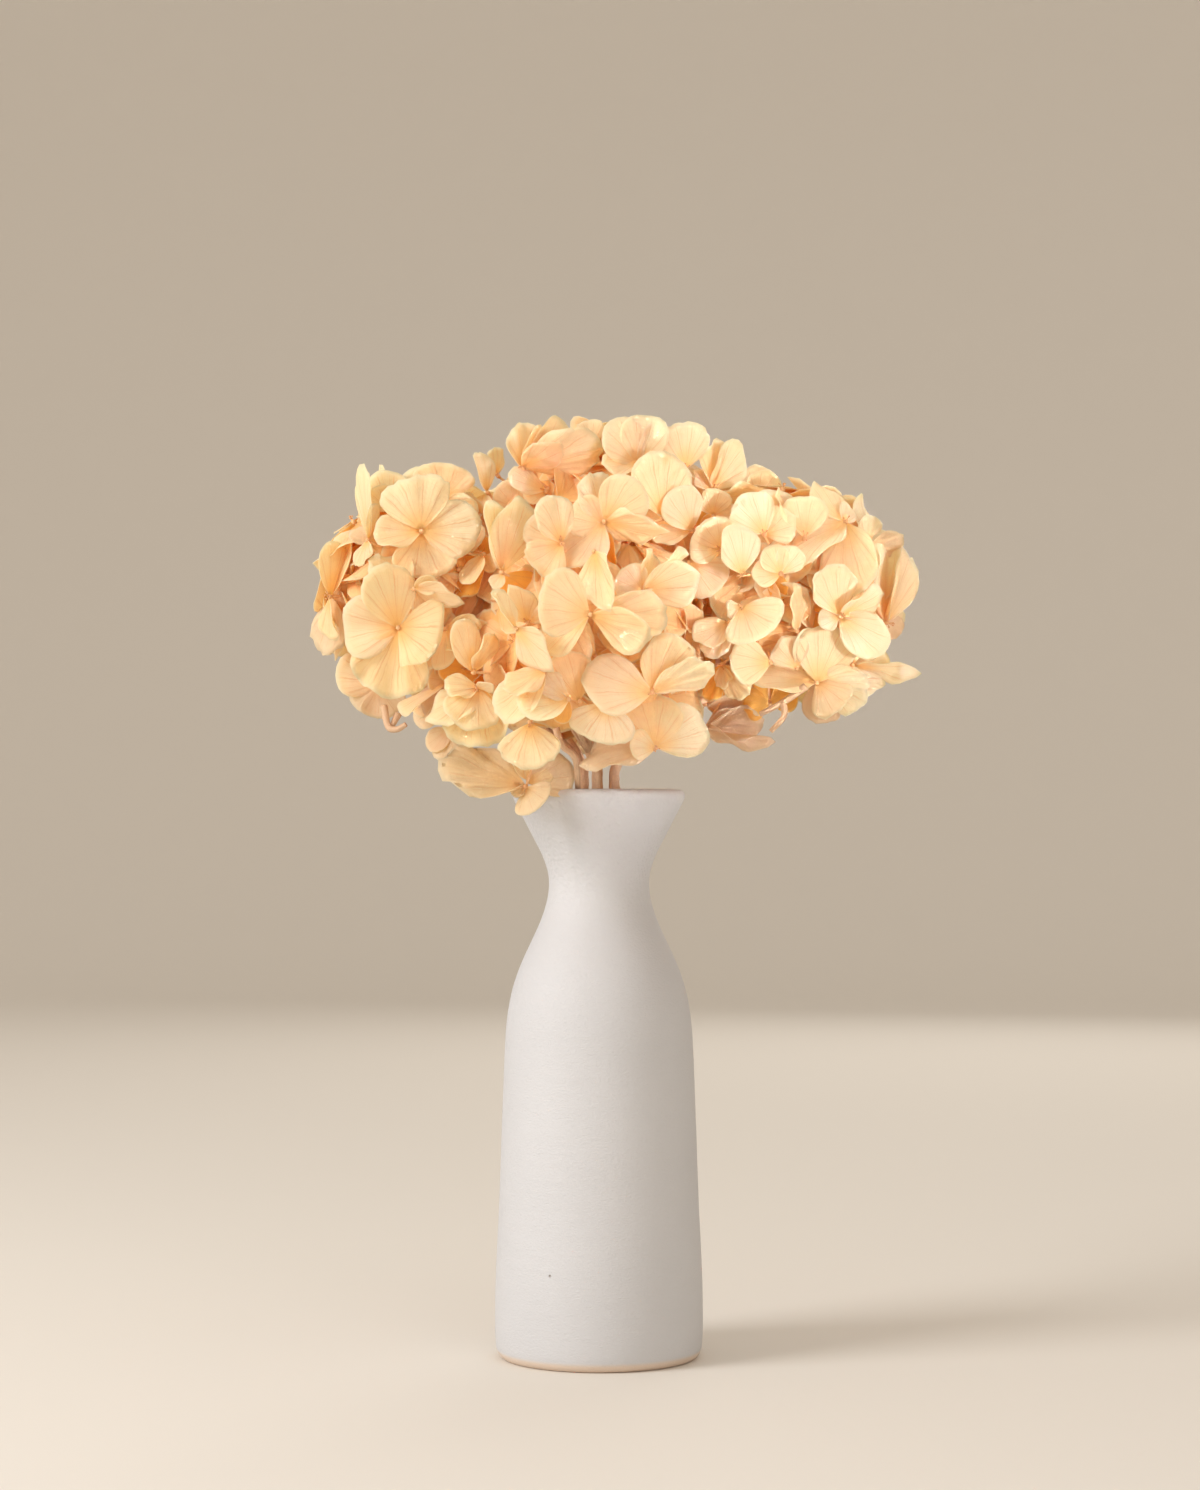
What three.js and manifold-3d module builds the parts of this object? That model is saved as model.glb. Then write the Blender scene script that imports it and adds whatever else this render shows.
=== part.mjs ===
// A bunch of six preserved hydrangea heads, each on its own woody stem, standing in a white ceramic bottle vase.
//
// Millimetres, +Z up. The origin is the middle of the vase's flat base, and the bunch is seen from the front
// along +Y. Each head is a dome of four-petalled florets on short stalks around a smaller core, and each stem
// forks under its head into rays that hold it. The florets that show from the front are listed by hand, with
// the tips of their petals; the others are spread over the domes by a rule.

import * as THREE from "three";
import { mergeVertices } from "three/addons/utils/BufferGeometryUtils.js";
import Module from "manifold-3d";

const wasm = await Module();
wasm.setup();

const GAP = 0.35; // between pieces that touch

// Vase
const VASE_WALL = 4;
const VASE_FLOOR = 6;
const VASE_SIDES = 34;
const VASE_STEPS = [11, 8]; // along the outer and the inner wall
const FOOT_RADIUS = 38; // of the flat base
const FOOT_ROUNDING = [[40.2, 1.2], [41.2, 4.2]]; // [radius, height]
const LIP = [[34.2, 224.4], [33, 225.4], [31.2, 225.2]];
const OUTER_WALL = [
  [41.6, 20],
  [39.2, 82],
  [36.6, 134],
  [28.6, 161],
  [20.1, 187],
  [24.4, 202.5],
  [34.3, 222.4],
];

// Stems
const STEM_RADIUS = 2;
const STEM_SIDES = 5;
const STEM_STEPS = 7;
const STEM_RING = 7.6; // the stems' circle in the neck of the vase
const STEM_SPREAD = 19; // the same on the vase's floor
const NECK_HEIGHT = 187;
const RAYS = 3; // that leave a stem at its fork
const RAY_RADIUS = 1.3;
const RAY_SPREAD = 0.62; // how far out under the core the rays reach, as a share of its radius

// Florets
const BLADE = 0.8; // thickness of a petal
const CORE_SHARE = 0.62; // radius of a head's core against its dome
const ROOT_DEPTH = 0.3; // where a floret's stalk ends, as a share of the way out from the head's middle
const CLAW = 3.2; // from a floret's middle to the notch between two petals
const PETAL_HALF_WIDTH = 0.52; // as a share of its length
const SEEN_OUTLINE = [[0.55, -1], [0.96, -0.58], [0.96, 0.58], [0.55, 1]]; // [along, across] of a petal
const RULED_OUTLINE = [[0.7, -1.02], [1, 0], [0.7, 1.02]];
const LEAST_TURN = 1.05; // between two petals of a floret, in radians
const RISE_LIMITS = [-0.1, 0.85]; // of a petal from its floret's plane, in radians
const PETAL_GAP = 2.2; // keeps the edges of neighbouring petals apart
const HUB = 0.5; // how far along a petal the middle of its blade is
const SECTOR_MOST = 0.85; // the widest half angle of a petal, in radians
const SPACING = 28; // between the florets that the rule spreads
const SEEN_SPACING = 25; // from one of them to a listed floret
const RULED_LENGTH = [22, 26]; // of the petals of those florets
const LOWEST = -0.62; // how far down a dome the rule goes: the sine of the angle below its middle
const CANDIDATES = 240; // directions that the rule tries on each dome
const USUAL_RISE = 0.3; // sine of the angle at which a petal rises from its floret's plane
const CROWDING = 7; // how far from the border with another head petals begin to bend clear of it
const BLOCK = 400; // side of the blocks that part two heads

// The view in which the listed florets' places and tips are given
const VIEW_DISTANCE = 1205;
const EYE_HEIGHT = 208;

// Each dome's middle and radius, the turn of its stem around the neck in degrees, the fork below it, and the
// florets that show from the front: [x, z, lift off the dome, turn to the right, turn up, petal length], and
// then how far right and up each petal's tip lies from the floret's middle.
const HEADS = {
  left: {
    centre: [-68, -8, 304],
    radius: 41,
    turn: 200,
    fork: [-46, -9, 268],
    seen: [
      [[-72, 329, 5, -8, 8, 24], [-3, 21], [24, 2], [5, -19], [-18, -4]],
      [[-81, 290, 8, -18, -8, 29], [-4, 26], [18, -5], [-8, -27], [-22, 1]],
      [[-107, 303, 0, -72, 5, 24], [3, 24], [-7, -21], [7, -4], [-3, 4]],
      [[-84, 260, 2, -45, -45, 27], [-19, 17], [-17, 3], [7, 4], [5, 12]],
      [[-92, 324, 0, -62, 12, 31], [-3, 31], [-4, -8], [5, -9], [-9, 5]],
      [[-75, 351, 0, -5, 55, 25], [23, -7], [-16, -6], [6, 7], [1, -12]],
      [[-74, 306, -4, 15, -5, 22], [18, -7], [8, 8], [-12, 6], [-4, -10]],
      [[-60, 290, 0, 20, 8, 21], [10, 5], [5, -17], [-8, 5], [8, -7]],
      [[-60, 267, 0, -10, -35, 24], [-19, -9], [3, 9], [10, -7], [-10, 6]],
    ],
  },
  centre: {
    centre: [-6, -20, 285],
    radius: 54,
    turn: 262,
    fork: [-4, -12, 240],
    seen: [
      [[2, 332, 4, 0, 12, 24], [-9, 17], [13, 15], [26, -2], [4, -17], [-14, -13]],
      [[-16, 323, 2, -15, 0, 20], [-4, 18], [-13, 5], [-7, -16], [7, -6]],
      [[-38, 321, 0, -25, 0, 22], [-8, 3], [6, 20], [9, -12], [-4, -9]],
      [[-4, 295, 5, -5, 2, 27], [-21, 6], [1, 24], [29, 0], [-16, -12]],
      [[17, 306, 6, 5, 22, 24], [-9, 9], [18, 15], [23, 3], [3, -6]],
      [[24, 320, 0, 5, 45, 22], [-14, 2], [19, 4], [5, 8], [2, -7]],
      [[16, 261, 8, 5, -5, 28], [-25, 9], [14, 24], [27, 12], [-22, -11]],
      [[21, 241, 10, 5, -30, 28], [10, 21], [-28, -6], [-7, 6], [17, -2]],
      [[10, 275, 3, 0, 5, 20], [-4, 17], [10, 13], [-14, 4], [4, -9]],
      [[-13, 261, 6, -15, -8, 24], [-18, -9], [-21, 12], [-2, 20], [7, -6]],
      [[-19, 253, 4, -15, -22, 22], [-7, -19], [-20, 7], [4, 9], [9, -5]],
      [[-30, 285, 4, -50, -10, 21], [-13, 17], [11, -12], [-6, -5], [5, 7]],
      [[-50, 265, 0, -20, -12, 20], [-2, -17], [-12, 1], [9, 3], [-3, 8]],
      [[-30, 227, 16, -15, -28, 30], [-32, 5], [20, 10], [5, -10], [-5, 14]],
      [[-54, 246, 0, -25, -30, 17], [-12, -5], [10, 3], [-3, -8], [2, 9]],
      [[-44, 277, 0, -15, 2, 18], [0, 14], [10, 6], [10, -11], [-8, -4]],
      [[-41, 298, -2, -20, 8, 20], [-12, 7], [-2, 14], [10, 3], [-6, -9]],
    ],
  },
  right: {
    centre: [72, -6, 301],
    radius: 45,
    turn: 340,
    fork: [48, -9, 266],
    seen: [
      [[66, 328, 3, 12, 14, 22], [-10, 16], [10, 9], [-9, -6], [6, -12]],
      [[72, 313, 0, 0, 0, 19], [-5, 12], [7, 13], [-14, -1], [0, -11]],
      [[94, 316, 6, 20, 5, 23], [-19, -4], [5, 18], [15, 2], [4, -17]],
      [[98, 296, 4, 28, -5, 21], [-12, 9], [12, 11], [-10, -6], [6, -13]],
      [[85, 268, 7, 15, -15, 26], [3, 25], [-22, 4], [23, -6], [7, -16]],
      [[104, 281, 4, 45, -8, 27], [25, -9], [9, 16], [-4, 9], [9, -12]],
      [[114, 296, 0, 70, 5, 27], [1, 26], [11, 21], [8, -9], [-5, -5]],
      [[100, 334, 0, 38, 38, 22], [-13, 13], [12, -4], [6, 8], [2, -10]],
      [[80, 336, 2, 15, 35, 20], [-9, 8], [9, 7], [0, 12], [3, -9]],
      [[57, 299, 1, -5, -18, 20], [5, -15], [17, 4], [-8, -7], [-3, 7]],
      [[68, 277, 4, -5, -8, 20], [-16, -1], [9, 13], [-7, 8], [8, -7]],
      [[45, 316, 0, 15, 5, 17], [4, -16], [-11, -10], [9, 8], [-6, 12]],
      [[50, 292, 0, 0, 0, 18], [-10, 7], [-9, -8], [7, 5], [5, -9]],
      [[57, 342, 2, 20, 25, 20], [10, 13], [-6, 10], [14, -2], [0, -10]],
      [[82, 292, 0, 10, 0, 19], [-4, 16], [-13, -4], [4, 8], [6, -10]],
      [[52, 263, 2, -15, -20, 23], [-15, 6], [12, 12], [17, -5], [-5, -14]],
      [[63, 247, 0, 10, -45, 18], [-15, 2], [14, -5], [-10, 11], [9, 8]],
    ],
  },
  top: {
    centre: [2, 8, 315],
    radius: 56,
    turn: 90,
    fork: [3, 24, 272],
    seen: [
      [[-31, 354, 2, -10, 20, 23], [-4, 18], [8, 17], [27, 6], [15, 0], [-10, -5]],
      [[-41, 350, 1, -25, 12, 20], [-2, 12], [-11, 8], [14, 3], [-3, -9]],
      [[-4, 352, 0, 0, 32, 22], [-10, 14], [2, 17], [12, 4], [-12, -5]],
      [[15, 356, 1, 5, 35, 24], [-11, 14], [-1, 20], [11, 12], [-11, -4]],
      [[37, 354, 1, 10, 30, 22], [-1, 17], [-10, 10], [9, 9], [3, -9]],
      [[27, 337, 2, 0, 15, 25], [-3, 24], [-19, 3], [18, 3], [2, -16]],
      [[38, 329, 5, 5, 5, 20], [-8, 17], [13, -1], [-14, -6], [4, -12]],
      [[42, 347, 4, 15, 25, 22], [5, 18], [14, 17], [-7, 5], [9, -7]],
    ],
  },
  back_left: {
    centre: [-46, 42, 300],
    radius: 43,
    turn: 140,
    fork: [-31, 32, 265],
    seen: [],
  },
  back_right: {
    centre: [45, 44, 302],
    radius: 45,
    turn: 40,
    fork: [32, 33, 267],
    seen: [],
  },
};

const PETAL_COLOUR = 0xf6cd98;
const STEM_COLOUR = 0xc08a55;
const VASE_COLOUR = 0xe6e1dc;

const vector = (list) => new THREE.Vector3(...list);
const radians = THREE.MathUtils.degToRad;

// A number from 0 to 1 that looks random and is always the same for the same pair.
function chance(item, use) {
  const wave = Math.sin(item * 12.9898 + use * 78.233) * 43758.5453;
  return wave - Math.floor(wave);
}

// ---- Solids ----

function solidOf(geometry) {
  const bare = geometry.clone();
  bare.deleteAttribute("normal");
  bare.deleteAttribute("uv");
  const merged = mergeVertices(bare, 1e-4);
  return new wasm.Manifold(new wasm.Mesh({
    numProp: 3,
    vertProperties: merged.attributes.position.array,
    triVerts: new Uint32Array(merged.index.array),
  }));
}

function geometryOf(solid) {
  const { vertProperties, triVerts } = solid.getMesh();
  return new THREE.BufferGeometry()
    .setAttribute("position", new THREE.BufferAttribute(new Float32Array(vertProperties), 3))
    .setIndex(new THREE.BufferAttribute(new Uint32Array(triVerts), 1));
}

function joined(solids) {
  return solids.reduce((whole, solid) => whole.add(solid));
}

// The largest of the pieces that a cut leaves.
function mainPiece(solid) {
  return solid.decompose().reduce((best, one) => (one.volume() > best.volume() ? one : best));
}

// A round bar along a curve.
function bar(path, radius, sides, steps) {
  const circle = new THREE.EllipseCurve(0, 0, radius, radius);
  const section = new THREE.Shape(circle.getPoints(sides).slice(1));
  return solidOf(new THREE.ExtrudeGeometry(section, { steps, bevelEnabled: false, extrudePath: path }));
}

// ---- Vase ----

// The wall's outline, grown outwards by a margin, from the foot up to the lip.
function outerWall(margin, steps) {
  const curve = new THREE.SplineCurve(OUTER_WALL.map(([r, z]) => new THREE.Vector2(r + margin, z)));
  return curve.getPoints(steps);
}

function vase() {
  const point = ([r, z]) => new THREE.Vector2(r, z);
  const wall = outerWall(0, VASE_STEPS[0]);
  const hollow = outerWall(-VASE_WALL, VASE_STEPS[1]).reverse();
  const profile = [
    new THREE.Vector2(0, 0),
    new THREE.Vector2(FOOT_RADIUS, 0),
    ...FOOT_ROUNDING.map(point),
    ...wall,
    ...LIP.map(point),
    ...hollow,
    new THREE.Vector2(FOOT_RADIUS - VASE_WALL, VASE_FLOOR),
    new THREE.Vector2(0, VASE_FLOOR),
  ];
  return solidOf(new THREE.LatheGeometry(profile, VASE_SIDES).rotateX(Math.PI / 2));
}

// The vase filled and grown by a gap, to keep petals clear of it.
function vaseClearance() {
  const profile = [
    new THREE.Vector2(0, 0),
    ...outerWall(GAP, VASE_STEPS[0]),
    new THREE.Vector2(LIP[0][0] + GAP, LIP[0][1] + GAP),
    new THREE.Vector2(LIP[1][0], LIP[1][1] + GAP),
    new THREE.Vector2(0, LIP[1][1] + GAP),
  ];
  return solidOf(new THREE.LatheGeometry(profile, VASE_SIDES).rotateX(Math.PI / 2));
}

// ---- Florets ----

// A direction turned to the right and up from the one that faces the viewer.
function facing(turn, rise) {
  const [t, r] = [radians(turn), radians(rise)];
  return new THREE.Vector3(Math.sin(t) * Math.cos(r), -Math.cos(t) * Math.cos(r), Math.sin(r));
}

// A listed floret, moved from the front view to its place on the dome.
function seenFloret(head, [[x, z, lift, turn, rise, length], ...tips], order) {
  const face = facing(turn, rise);
  const middle = new THREE.Vector3(x, head.centre[1], z);
  let scale = 1;
  for (let round = 0; round < 3; round++) {
    scale = 1 + middle.y / VIEW_DISTANCE;
    middle.x = x * scale;
    middle.z = EYE_HEIGHT + (z - EYE_HEIGHT) * scale;
    const off = Math.hypot(middle.x - head.centre[0], middle.z - head.centre[2]);
    const depth = Math.sqrt(Math.max(head.radius ** 2 - off ** 2, 0));
    middle.y = head.centre[1] - depth - lift;
  }
  const petals = tips.map(([right, up]) => {
    const depth = Math.sqrt(Math.max(length ** 2 - right ** 2 - up ** 2, 0));
    const ways = [-depth, depth].map((y) => new THREE.Vector3(right, y, up).normalize());
    const miss = ways.map((way) => Math.abs(way.dot(face) - USUAL_RISE));
    const reach = Math.max(length, Math.hypot(right, up)) * scale;
    return { way: miss[0] <= miss[1] ? ways[0] : ways[1], reach };
  });
  return { middle, face, petals, outline: SEEN_OUTLINE, order };
}

// A floret of the rule, at a direction from the dome's middle.
function ruledFloret(head, out, order) {
  const face = out.clone()
    .add(new THREE.Vector3(chance(order, 1), chance(order, 2), chance(order, 3)).subScalar(0.5).multiplyScalar(0.5))
    .normalize();
  const right = new THREE.Vector3(0.1, 0.2, 1).cross(face).normalize();
  const up = face.clone().cross(right);
  const roll = chance(order, 4) * Math.PI;
  const petals = [0, 1, 2, 3].map((k) => {
    const angle = roll + (k * Math.PI) / 2 + (chance(order, 5 + k) - 0.5) * 0.3;
    const rise = radians(4 + 12 * chance(order, 10 + k));
    const way = right.clone().multiplyScalar(Math.cos(angle) * Math.cos(rise))
      .addScaledVector(up, Math.sin(angle) * Math.cos(rise))
      .addScaledVector(face, Math.sin(rise));
    return { way, reach: THREE.MathUtils.lerp(...RULED_LENGTH, chance(order, 15 + k)) };
  });
  const middle = vector(head.centre).addScaledVector(out, head.radius - 2 + 11 * chance(order, 20));
  return { middle, face, petals, outline: RULED_OUTLINE, order };
}

// Directions spread evenly over a ball.
function spreadDirections(count) {
  const golden = Math.PI * (3 - Math.sqrt(5));
  return Array.from({ length: count }, (_, i) => {
    const z = 1 - (2 * i + 1) / count;
    const flat = Math.sqrt(1 - z * z);
    return new THREE.Vector3(flat * Math.cos(i * golden), flat * Math.sin(i * golden), z);
  });
}

function allFlorets() {
  const names = Object.keys(HEADS);
  const florets = {};
  const seen = [];
  const ruled = [];
  names.forEach((name, n) => {
    florets[name] = HEADS[name].seen.map((row, i) => seenFloret(HEADS[name], row, 100 * n + i));
    seen.push(...florets[name].map((floret) => floret.middle));
  });
  names.forEach((name, n) => {
    const head = HEADS[name];
    spreadDirections(CANDIDATES).forEach((out, i) => {
      if (out.z < LOWEST) return;
      const place = vector(head.centre).addScaledVector(out, head.radius);
      const buried = names.some((other) => other !== name
        && place.distanceTo(vector(HEADS[other].centre)) < HEADS[other].radius + 2);
      if (buried || seen.some((middle) => middle.distanceTo(place) < SEEN_SPACING)) return;
      if (ruled.some((middle) => middle.distanceTo(place) < SPACING)) return;
      florets[name].push(ruledFloret(head, out, 1000 + 100 * n + i));
      ruled.push(place);
    });
  });
  return florets;
}

// How far a floret's petal is turned round its axis from the next one.
function turnGap(petals, k) {
  const gap = petals[(k + 1) % petals.length].turn - petals[k % petals.length].turn;
  return gap > 0 ? gap : gap + 2 * Math.PI;
}

// The petals in order round the floret's axis, moved apart where two of them nearly coincide.
function spreadPetals(petals, face, flat, level) {
  const turned = petals
    .map(({ way, reach }) => ({
      reach,
      rise: THREE.MathUtils.clamp(Math.asin(way.dot(face)), ...RISE_LIMITS),
      turn: Math.atan2(way.dot(level), way.dot(flat)),
    }))
    .sort((a, b) => a.turn - b.turn);
  for (let round = 0; round < 40; round++) {
    turned.forEach((petal, k) => {
      const lack = Math.max(LEAST_TURN - turnGap(turned, k), 0) / 8;
      petal.turn -= lack;
      turned[(k + 1) % turned.length].turn += lack;
    });
  }
  return turned.map((petal) => {
    const way = flat.clone().multiplyScalar(Math.cos(petal.turn))
      .addScaledVector(level, Math.sin(petal.turn))
      .multiplyScalar(Math.cos(petal.rise))
      .addScaledVector(face, Math.sin(petal.rise));
    return { ...petal, way };
  });
}

// One floret as a closed blade of petals around its middle, with a stalk that narrows down to a root inside
// the head. Each petal keeps to its own sector round the floret's axis, so that no two cross.
function floretSolid({ middle, face, petals, outline, order }, root, bend) {
  const flat = new THREE.Vector3(0.3, 0.2, 1).cross(face).normalize();
  const level = face.clone().cross(flat);
  const turned = spreadPetals(petals, face, flat, level);
  const count = turned.length;
  const gapAfter = (k) => turnGap(turned, k);
  const sheet = [middle.clone()];
  const blades = [];
  const rim = [];
  turned.forEach(({ way, reach, turn }, k) => {
    const across = face.clone().cross(way).normalize();
    const up = way.clone().cross(across);
    const flatness = Math.max(Math.sqrt(1 - way.dot(face) ** 2), 0.35);
    const halfWidth = reach * (PETAL_HALF_WIDTH + 0.08 * chance(order, 30 + k));
    const curl = reach * 0.2 * (chance(order, 40 + k) - 0.4);
    const cup = reach * 0.1 * chance(order, 50 + k);
    const corner = ([along, side]) => {
      const gap = gapAfter(side > 0 ? k : k + count - 1);
      const free = Math.tan(Math.min(gap / 2, SECTOR_MOST)) * (along * reach * flatness - PETAL_GAP);
      return middle.clone()
        .addScaledVector(way, along * reach)
        .addScaledVector(across, Math.sign(side) * Math.min(halfWidth * Math.abs(side), free))
        .addScaledVector(up, cup + curl * (along - HUB) * 2);
    };
    const notch = turn + gapAfter(k) / 2;
    const blade = sheet.length;
    sheet.push(
      middle.clone().addScaledVector(way, HUB * reach),
      ...outline.map(corner),
      middle.clone()
        .addScaledVector(flat, CLAW * Math.cos(notch))
        .addScaledVector(level, CLAW * Math.sin(notch)),
    );
    const corners = outline.length + 2;
    const notchBefore = k === 0 ? corners * count : blade - 1;
    const edge = [notchBefore, ...outline.map((_, i) => blade + 1 + i), blade + corners - 1];
    blades.push({ blade, edge });
    edge.slice(1).forEach((end, i) => rim.push([edge[i], end]));
  });

  sheet.forEach(bend);
  const top = blades.flatMap(({ blade, edge }) => fan(blade, [0, ...edge]));
  const bottom = blades.flatMap(({ blade, edge }) => fan(blade, edge));
  const stalk = blades.map(({ edge }) => [0, edge[0], edge.at(-1)]);
  const normals = sheet.map(() => new THREE.Vector3());
  top.forEach(([a, b, c]) => {
    const normal = sheet[b].clone().sub(sheet[a]).cross(sheet[c].clone().sub(sheet[a])).normalize();
    [a, b, c].forEach((end) => normals[end].add(normal));
  });
  const over = sheet.map((point, i) => point.clone().addScaledVector(normals[i].normalize(), BLADE / 2));
  const under = sheet.map((point, i) => point.clone().addScaledVector(normals[i], -BLADE / 2));
  under[0] = root;
  const below = sheet.length;
  const triangles = [
    ...top,
    ...[...bottom, ...stalk].map(([a, b, c]) => [below + a, below + c, below + b]),
    ...rim.flatMap(([a, b]) => [[a, below + a, below + b], [a, below + b, b]]),
  ];
  const points = [...over, ...under].flatMap((point) => point.toArray());
  return solidOf(new THREE.BufferGeometry()
    .setAttribute("position", new THREE.Float32BufferAttribute(points, 3))
    .setIndex(triangles.flat()));
}

// Triangles from one point to each side of a closed ring.
function fan(hub, ring) {
  return ring.map((end, i) => [hub, end, ring[(i + 1) % ring.length]]);
}

// ---- Heads ----

function core(head, grow) {
  const ball = new THREE.IcosahedronGeometry(head.radius * CORE_SHARE + grow, 0);
  return solidOf(ball.translate(...head.centre));
}

// The flat borders between one head and the others: the way out, and how far out each lies from its middle.
function bordersOf(name) {
  const head = HEADS[name];
  return Object.keys(HEADS).filter((other) => other !== name).map((other) => {
    const way = vector(HEADS[other].centre).sub(vector(head.centre));
    const apart = way.length();
    const distance = (apart ** 2 + head.radius ** 2 - HEADS[other].radius ** 2) / (2 * apart) - GAP / 2;
    return { way: way.normalize(), distance };
  });
}

function beyondBorder(head, { way, distance }) {
  const turn = new THREE.Quaternion().setFromUnitVectors(new THREE.Vector3(0, 0, 1), way);
  const block = new THREE.BoxGeometry(BLOCK, BLOCK, BLOCK).translate(0, 0, BLOCK / 2 + distance);
  return solidOf(block.applyQuaternion(turn).translate(...head.centre));
}

// Moves a point back from the borders, gently at first, so that a petal bends instead of crossing one.
function bendClear(point, head, borders) {
  const room = CROWDING - BLADE;
  borders.forEach(({ way, distance }) => {
    const past = point.clone().sub(vector(head.centre)).dot(way) - distance + CROWDING;
    if (past > 0) point.addScaledVector(way, room * (1 - Math.exp(-past / room)) - past);
  });
}

function headSolid(name, florets, keptClear) {
  const head = HEADS[name];
  const borders = bordersOf(name);
  const blooms = florets.map((floret) => {
    const root = vector(head.centre).lerp(floret.middle, ROOT_DEPTH);
    return floretSolid(floret, root, (point) => bendClear(point, head, borders));
  });
  const cutters = [...borders.map((border) => beyondBorder(head, border)), ...keptClear];
  const whole = joined([core(head, 0), ...blooms]);
  return mainPiece(cutters.reduce((left, cutter) => left.subtract(cutter), whole));
}

// ---- Stems ----

// From the vase's floor through its neck and the fork up to the head's core.
function stemPath(head) {
  const around = (height, ring) => new THREE.Vector3(
    ring * Math.cos(radians(head.turn)),
    ring * Math.sin(radians(head.turn)),
    height,
  );
  return new THREE.CatmullRomCurve3([
    around(VASE_FLOOR + GAP, STEM_SPREAD),
    around(NECK_HEIGHT, STEM_RING),
    around(NECK_HEIGHT + 30, STEM_RING),
    vector(head.fork),
    vector(head.fork).lerp(vector(head.centre), 0.75),
  ], false, "centripetal");
}

// A stem with its rays, which end just short of the head's core, all grown by a margin.
function stemWithRays(head, grow) {
  const fork = vector(head.fork);
  const centre = vector(head.centre);
  const axis = centre.clone().sub(fork).normalize();
  const flat = new THREE.Vector3(0.2, 1, 0.1).cross(axis).normalize();
  const level = axis.clone().cross(flat);
  const spread = head.radius * CORE_SHARE * RAY_SPREAD;
  const rays = Array.from({ length: RAYS }, (_, k) => {
    const angle = (k / RAYS) * 2 * Math.PI + radians(head.turn);
    const end = centre.clone()
      .addScaledVector(flat, spread * Math.cos(angle))
      .addScaledVector(level, spread * Math.sin(angle));
    return bar(new THREE.LineCurve3(fork, end), RAY_RADIUS + grow, 3, 1);
  });
  const stem = bar(stemPath(head), STEM_RADIUS + grow, STEM_SIDES, STEM_STEPS);
  return mainPiece(joined([stem, ...rays]).subtract(core(head, GAP)));
}

// ---- The whole object ----

function mesh(name, solid, colour, roughness) {
  const material = new THREE.MeshStandardMaterial({ color: colour, roughness, metalness: 0 });
  const made = new THREE.Mesh(geometryOf(solid), material);
  made.name = name;
  return made;
}

const group = new THREE.Group();
group.add(mesh("vase", vase(), VASE_COLOUR, 0.75));

const heads = Object.entries(HEADS);
const florets = allFlorets();
const keptClear = [vaseClearance(), ...heads.map(([, head]) => stemWithRays(head, GAP))];
for (const [name, head] of heads) {
  group.add(mesh(`stem_${name}`, stemWithRays(head, 0), STEM_COLOUR, 0.8));
  group.add(mesh(`head_${name}`, headSolid(name, florets[name], keptClear), PETAL_COLOUR, 0.6));
}

export default group;
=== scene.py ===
# Looks of a bunch of preserved hydrangeas in a white ceramic bottle vase.
#
# Lengths are in millimetres until a mesh is made, and in metres from there on. The origin is the middle of
# the vase's flat base, +Z is up, and the bunch is seen from the front along +Y. Each flower head is one mesh
# of four-petalled florets: those that show from the front are listed with the tips of their petals, the
# others are spread over the head's dome by a rule, and smaller ones fill it inside, painted more orange as
# painted glow of the light in the dome's shaded hollow.

import math

import bpy
import numpy as np
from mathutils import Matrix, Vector


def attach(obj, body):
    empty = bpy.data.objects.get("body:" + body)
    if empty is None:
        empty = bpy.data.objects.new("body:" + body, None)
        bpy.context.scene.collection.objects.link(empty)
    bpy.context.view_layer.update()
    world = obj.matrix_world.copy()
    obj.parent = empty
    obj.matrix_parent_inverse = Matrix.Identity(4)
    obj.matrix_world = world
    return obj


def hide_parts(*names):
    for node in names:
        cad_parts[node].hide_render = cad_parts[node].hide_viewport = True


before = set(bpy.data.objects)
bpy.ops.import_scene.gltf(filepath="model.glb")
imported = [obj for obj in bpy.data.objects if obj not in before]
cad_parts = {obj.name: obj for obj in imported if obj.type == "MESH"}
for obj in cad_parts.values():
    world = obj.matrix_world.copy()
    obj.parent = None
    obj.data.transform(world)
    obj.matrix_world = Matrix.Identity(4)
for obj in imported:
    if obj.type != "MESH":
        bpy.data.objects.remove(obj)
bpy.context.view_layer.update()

MM = 0.001

# ---- Vase ----

# The outside from the foot up to the lip, in rows of [radius, height], and the rounded corner of the floor
# inside, in rows of [inwards from the wall, up from the floor]
FOOT = [[37.4, 0], [38.4, 0.25], [39.3, 0.9], [40.2, 2.0], [40.7, 3.4]]
WALL = [
    [41.0, 5.5], [41.3, 12], [41.25, 25], [40.7, 41], [39.9, 57], [39.3, 73], [38.8, 89], [38.2, 105],
    [37.6, 121], [36.9, 132], [35.6, 141], [33.6, 149], [30.6, 157], [26.9, 165], [23.3, 173], [20.9, 180.5],
    [20.0, 187], [20.6, 193], [22.9, 199.5], [26.2, 206], [30.2, 213.8], [33.6, 220.3],
]
LIP = [[34.3, 222.0], [34.3, 223.4], [33.6, 224.6], [32.3, 225.2], [31.0, 224.9], [30.0, 223.9]]
CORNER = [[1.5, 0.6], [5, 0]]
CORNER_HEIGHT = 3
VASE_WALL = 4.0
VASE_FLOOR = 6.0
VASE_SIDES = 160

# ---- Front view ----

# The grid in which the listed florets and twigs are given: its step, the column of the vase's axis, the row
# of the plane that it stands on, and the middle column. The viewer is VIEW_DISTANCE in front of the axis.
VIEW_STEP = 0.4
VIEW_AXIS = 599
VIEW_FOOT = 1352.5
VIEW_MIDDLE = 600
VIEW_DISTANCE = 1205
EYE_HEIGHT = 208
VIEW_TILT = 1.67  # degrees upwards
VIEW_LENS = 72.8
SENSOR = 36

# ---- Stems ----

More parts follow.
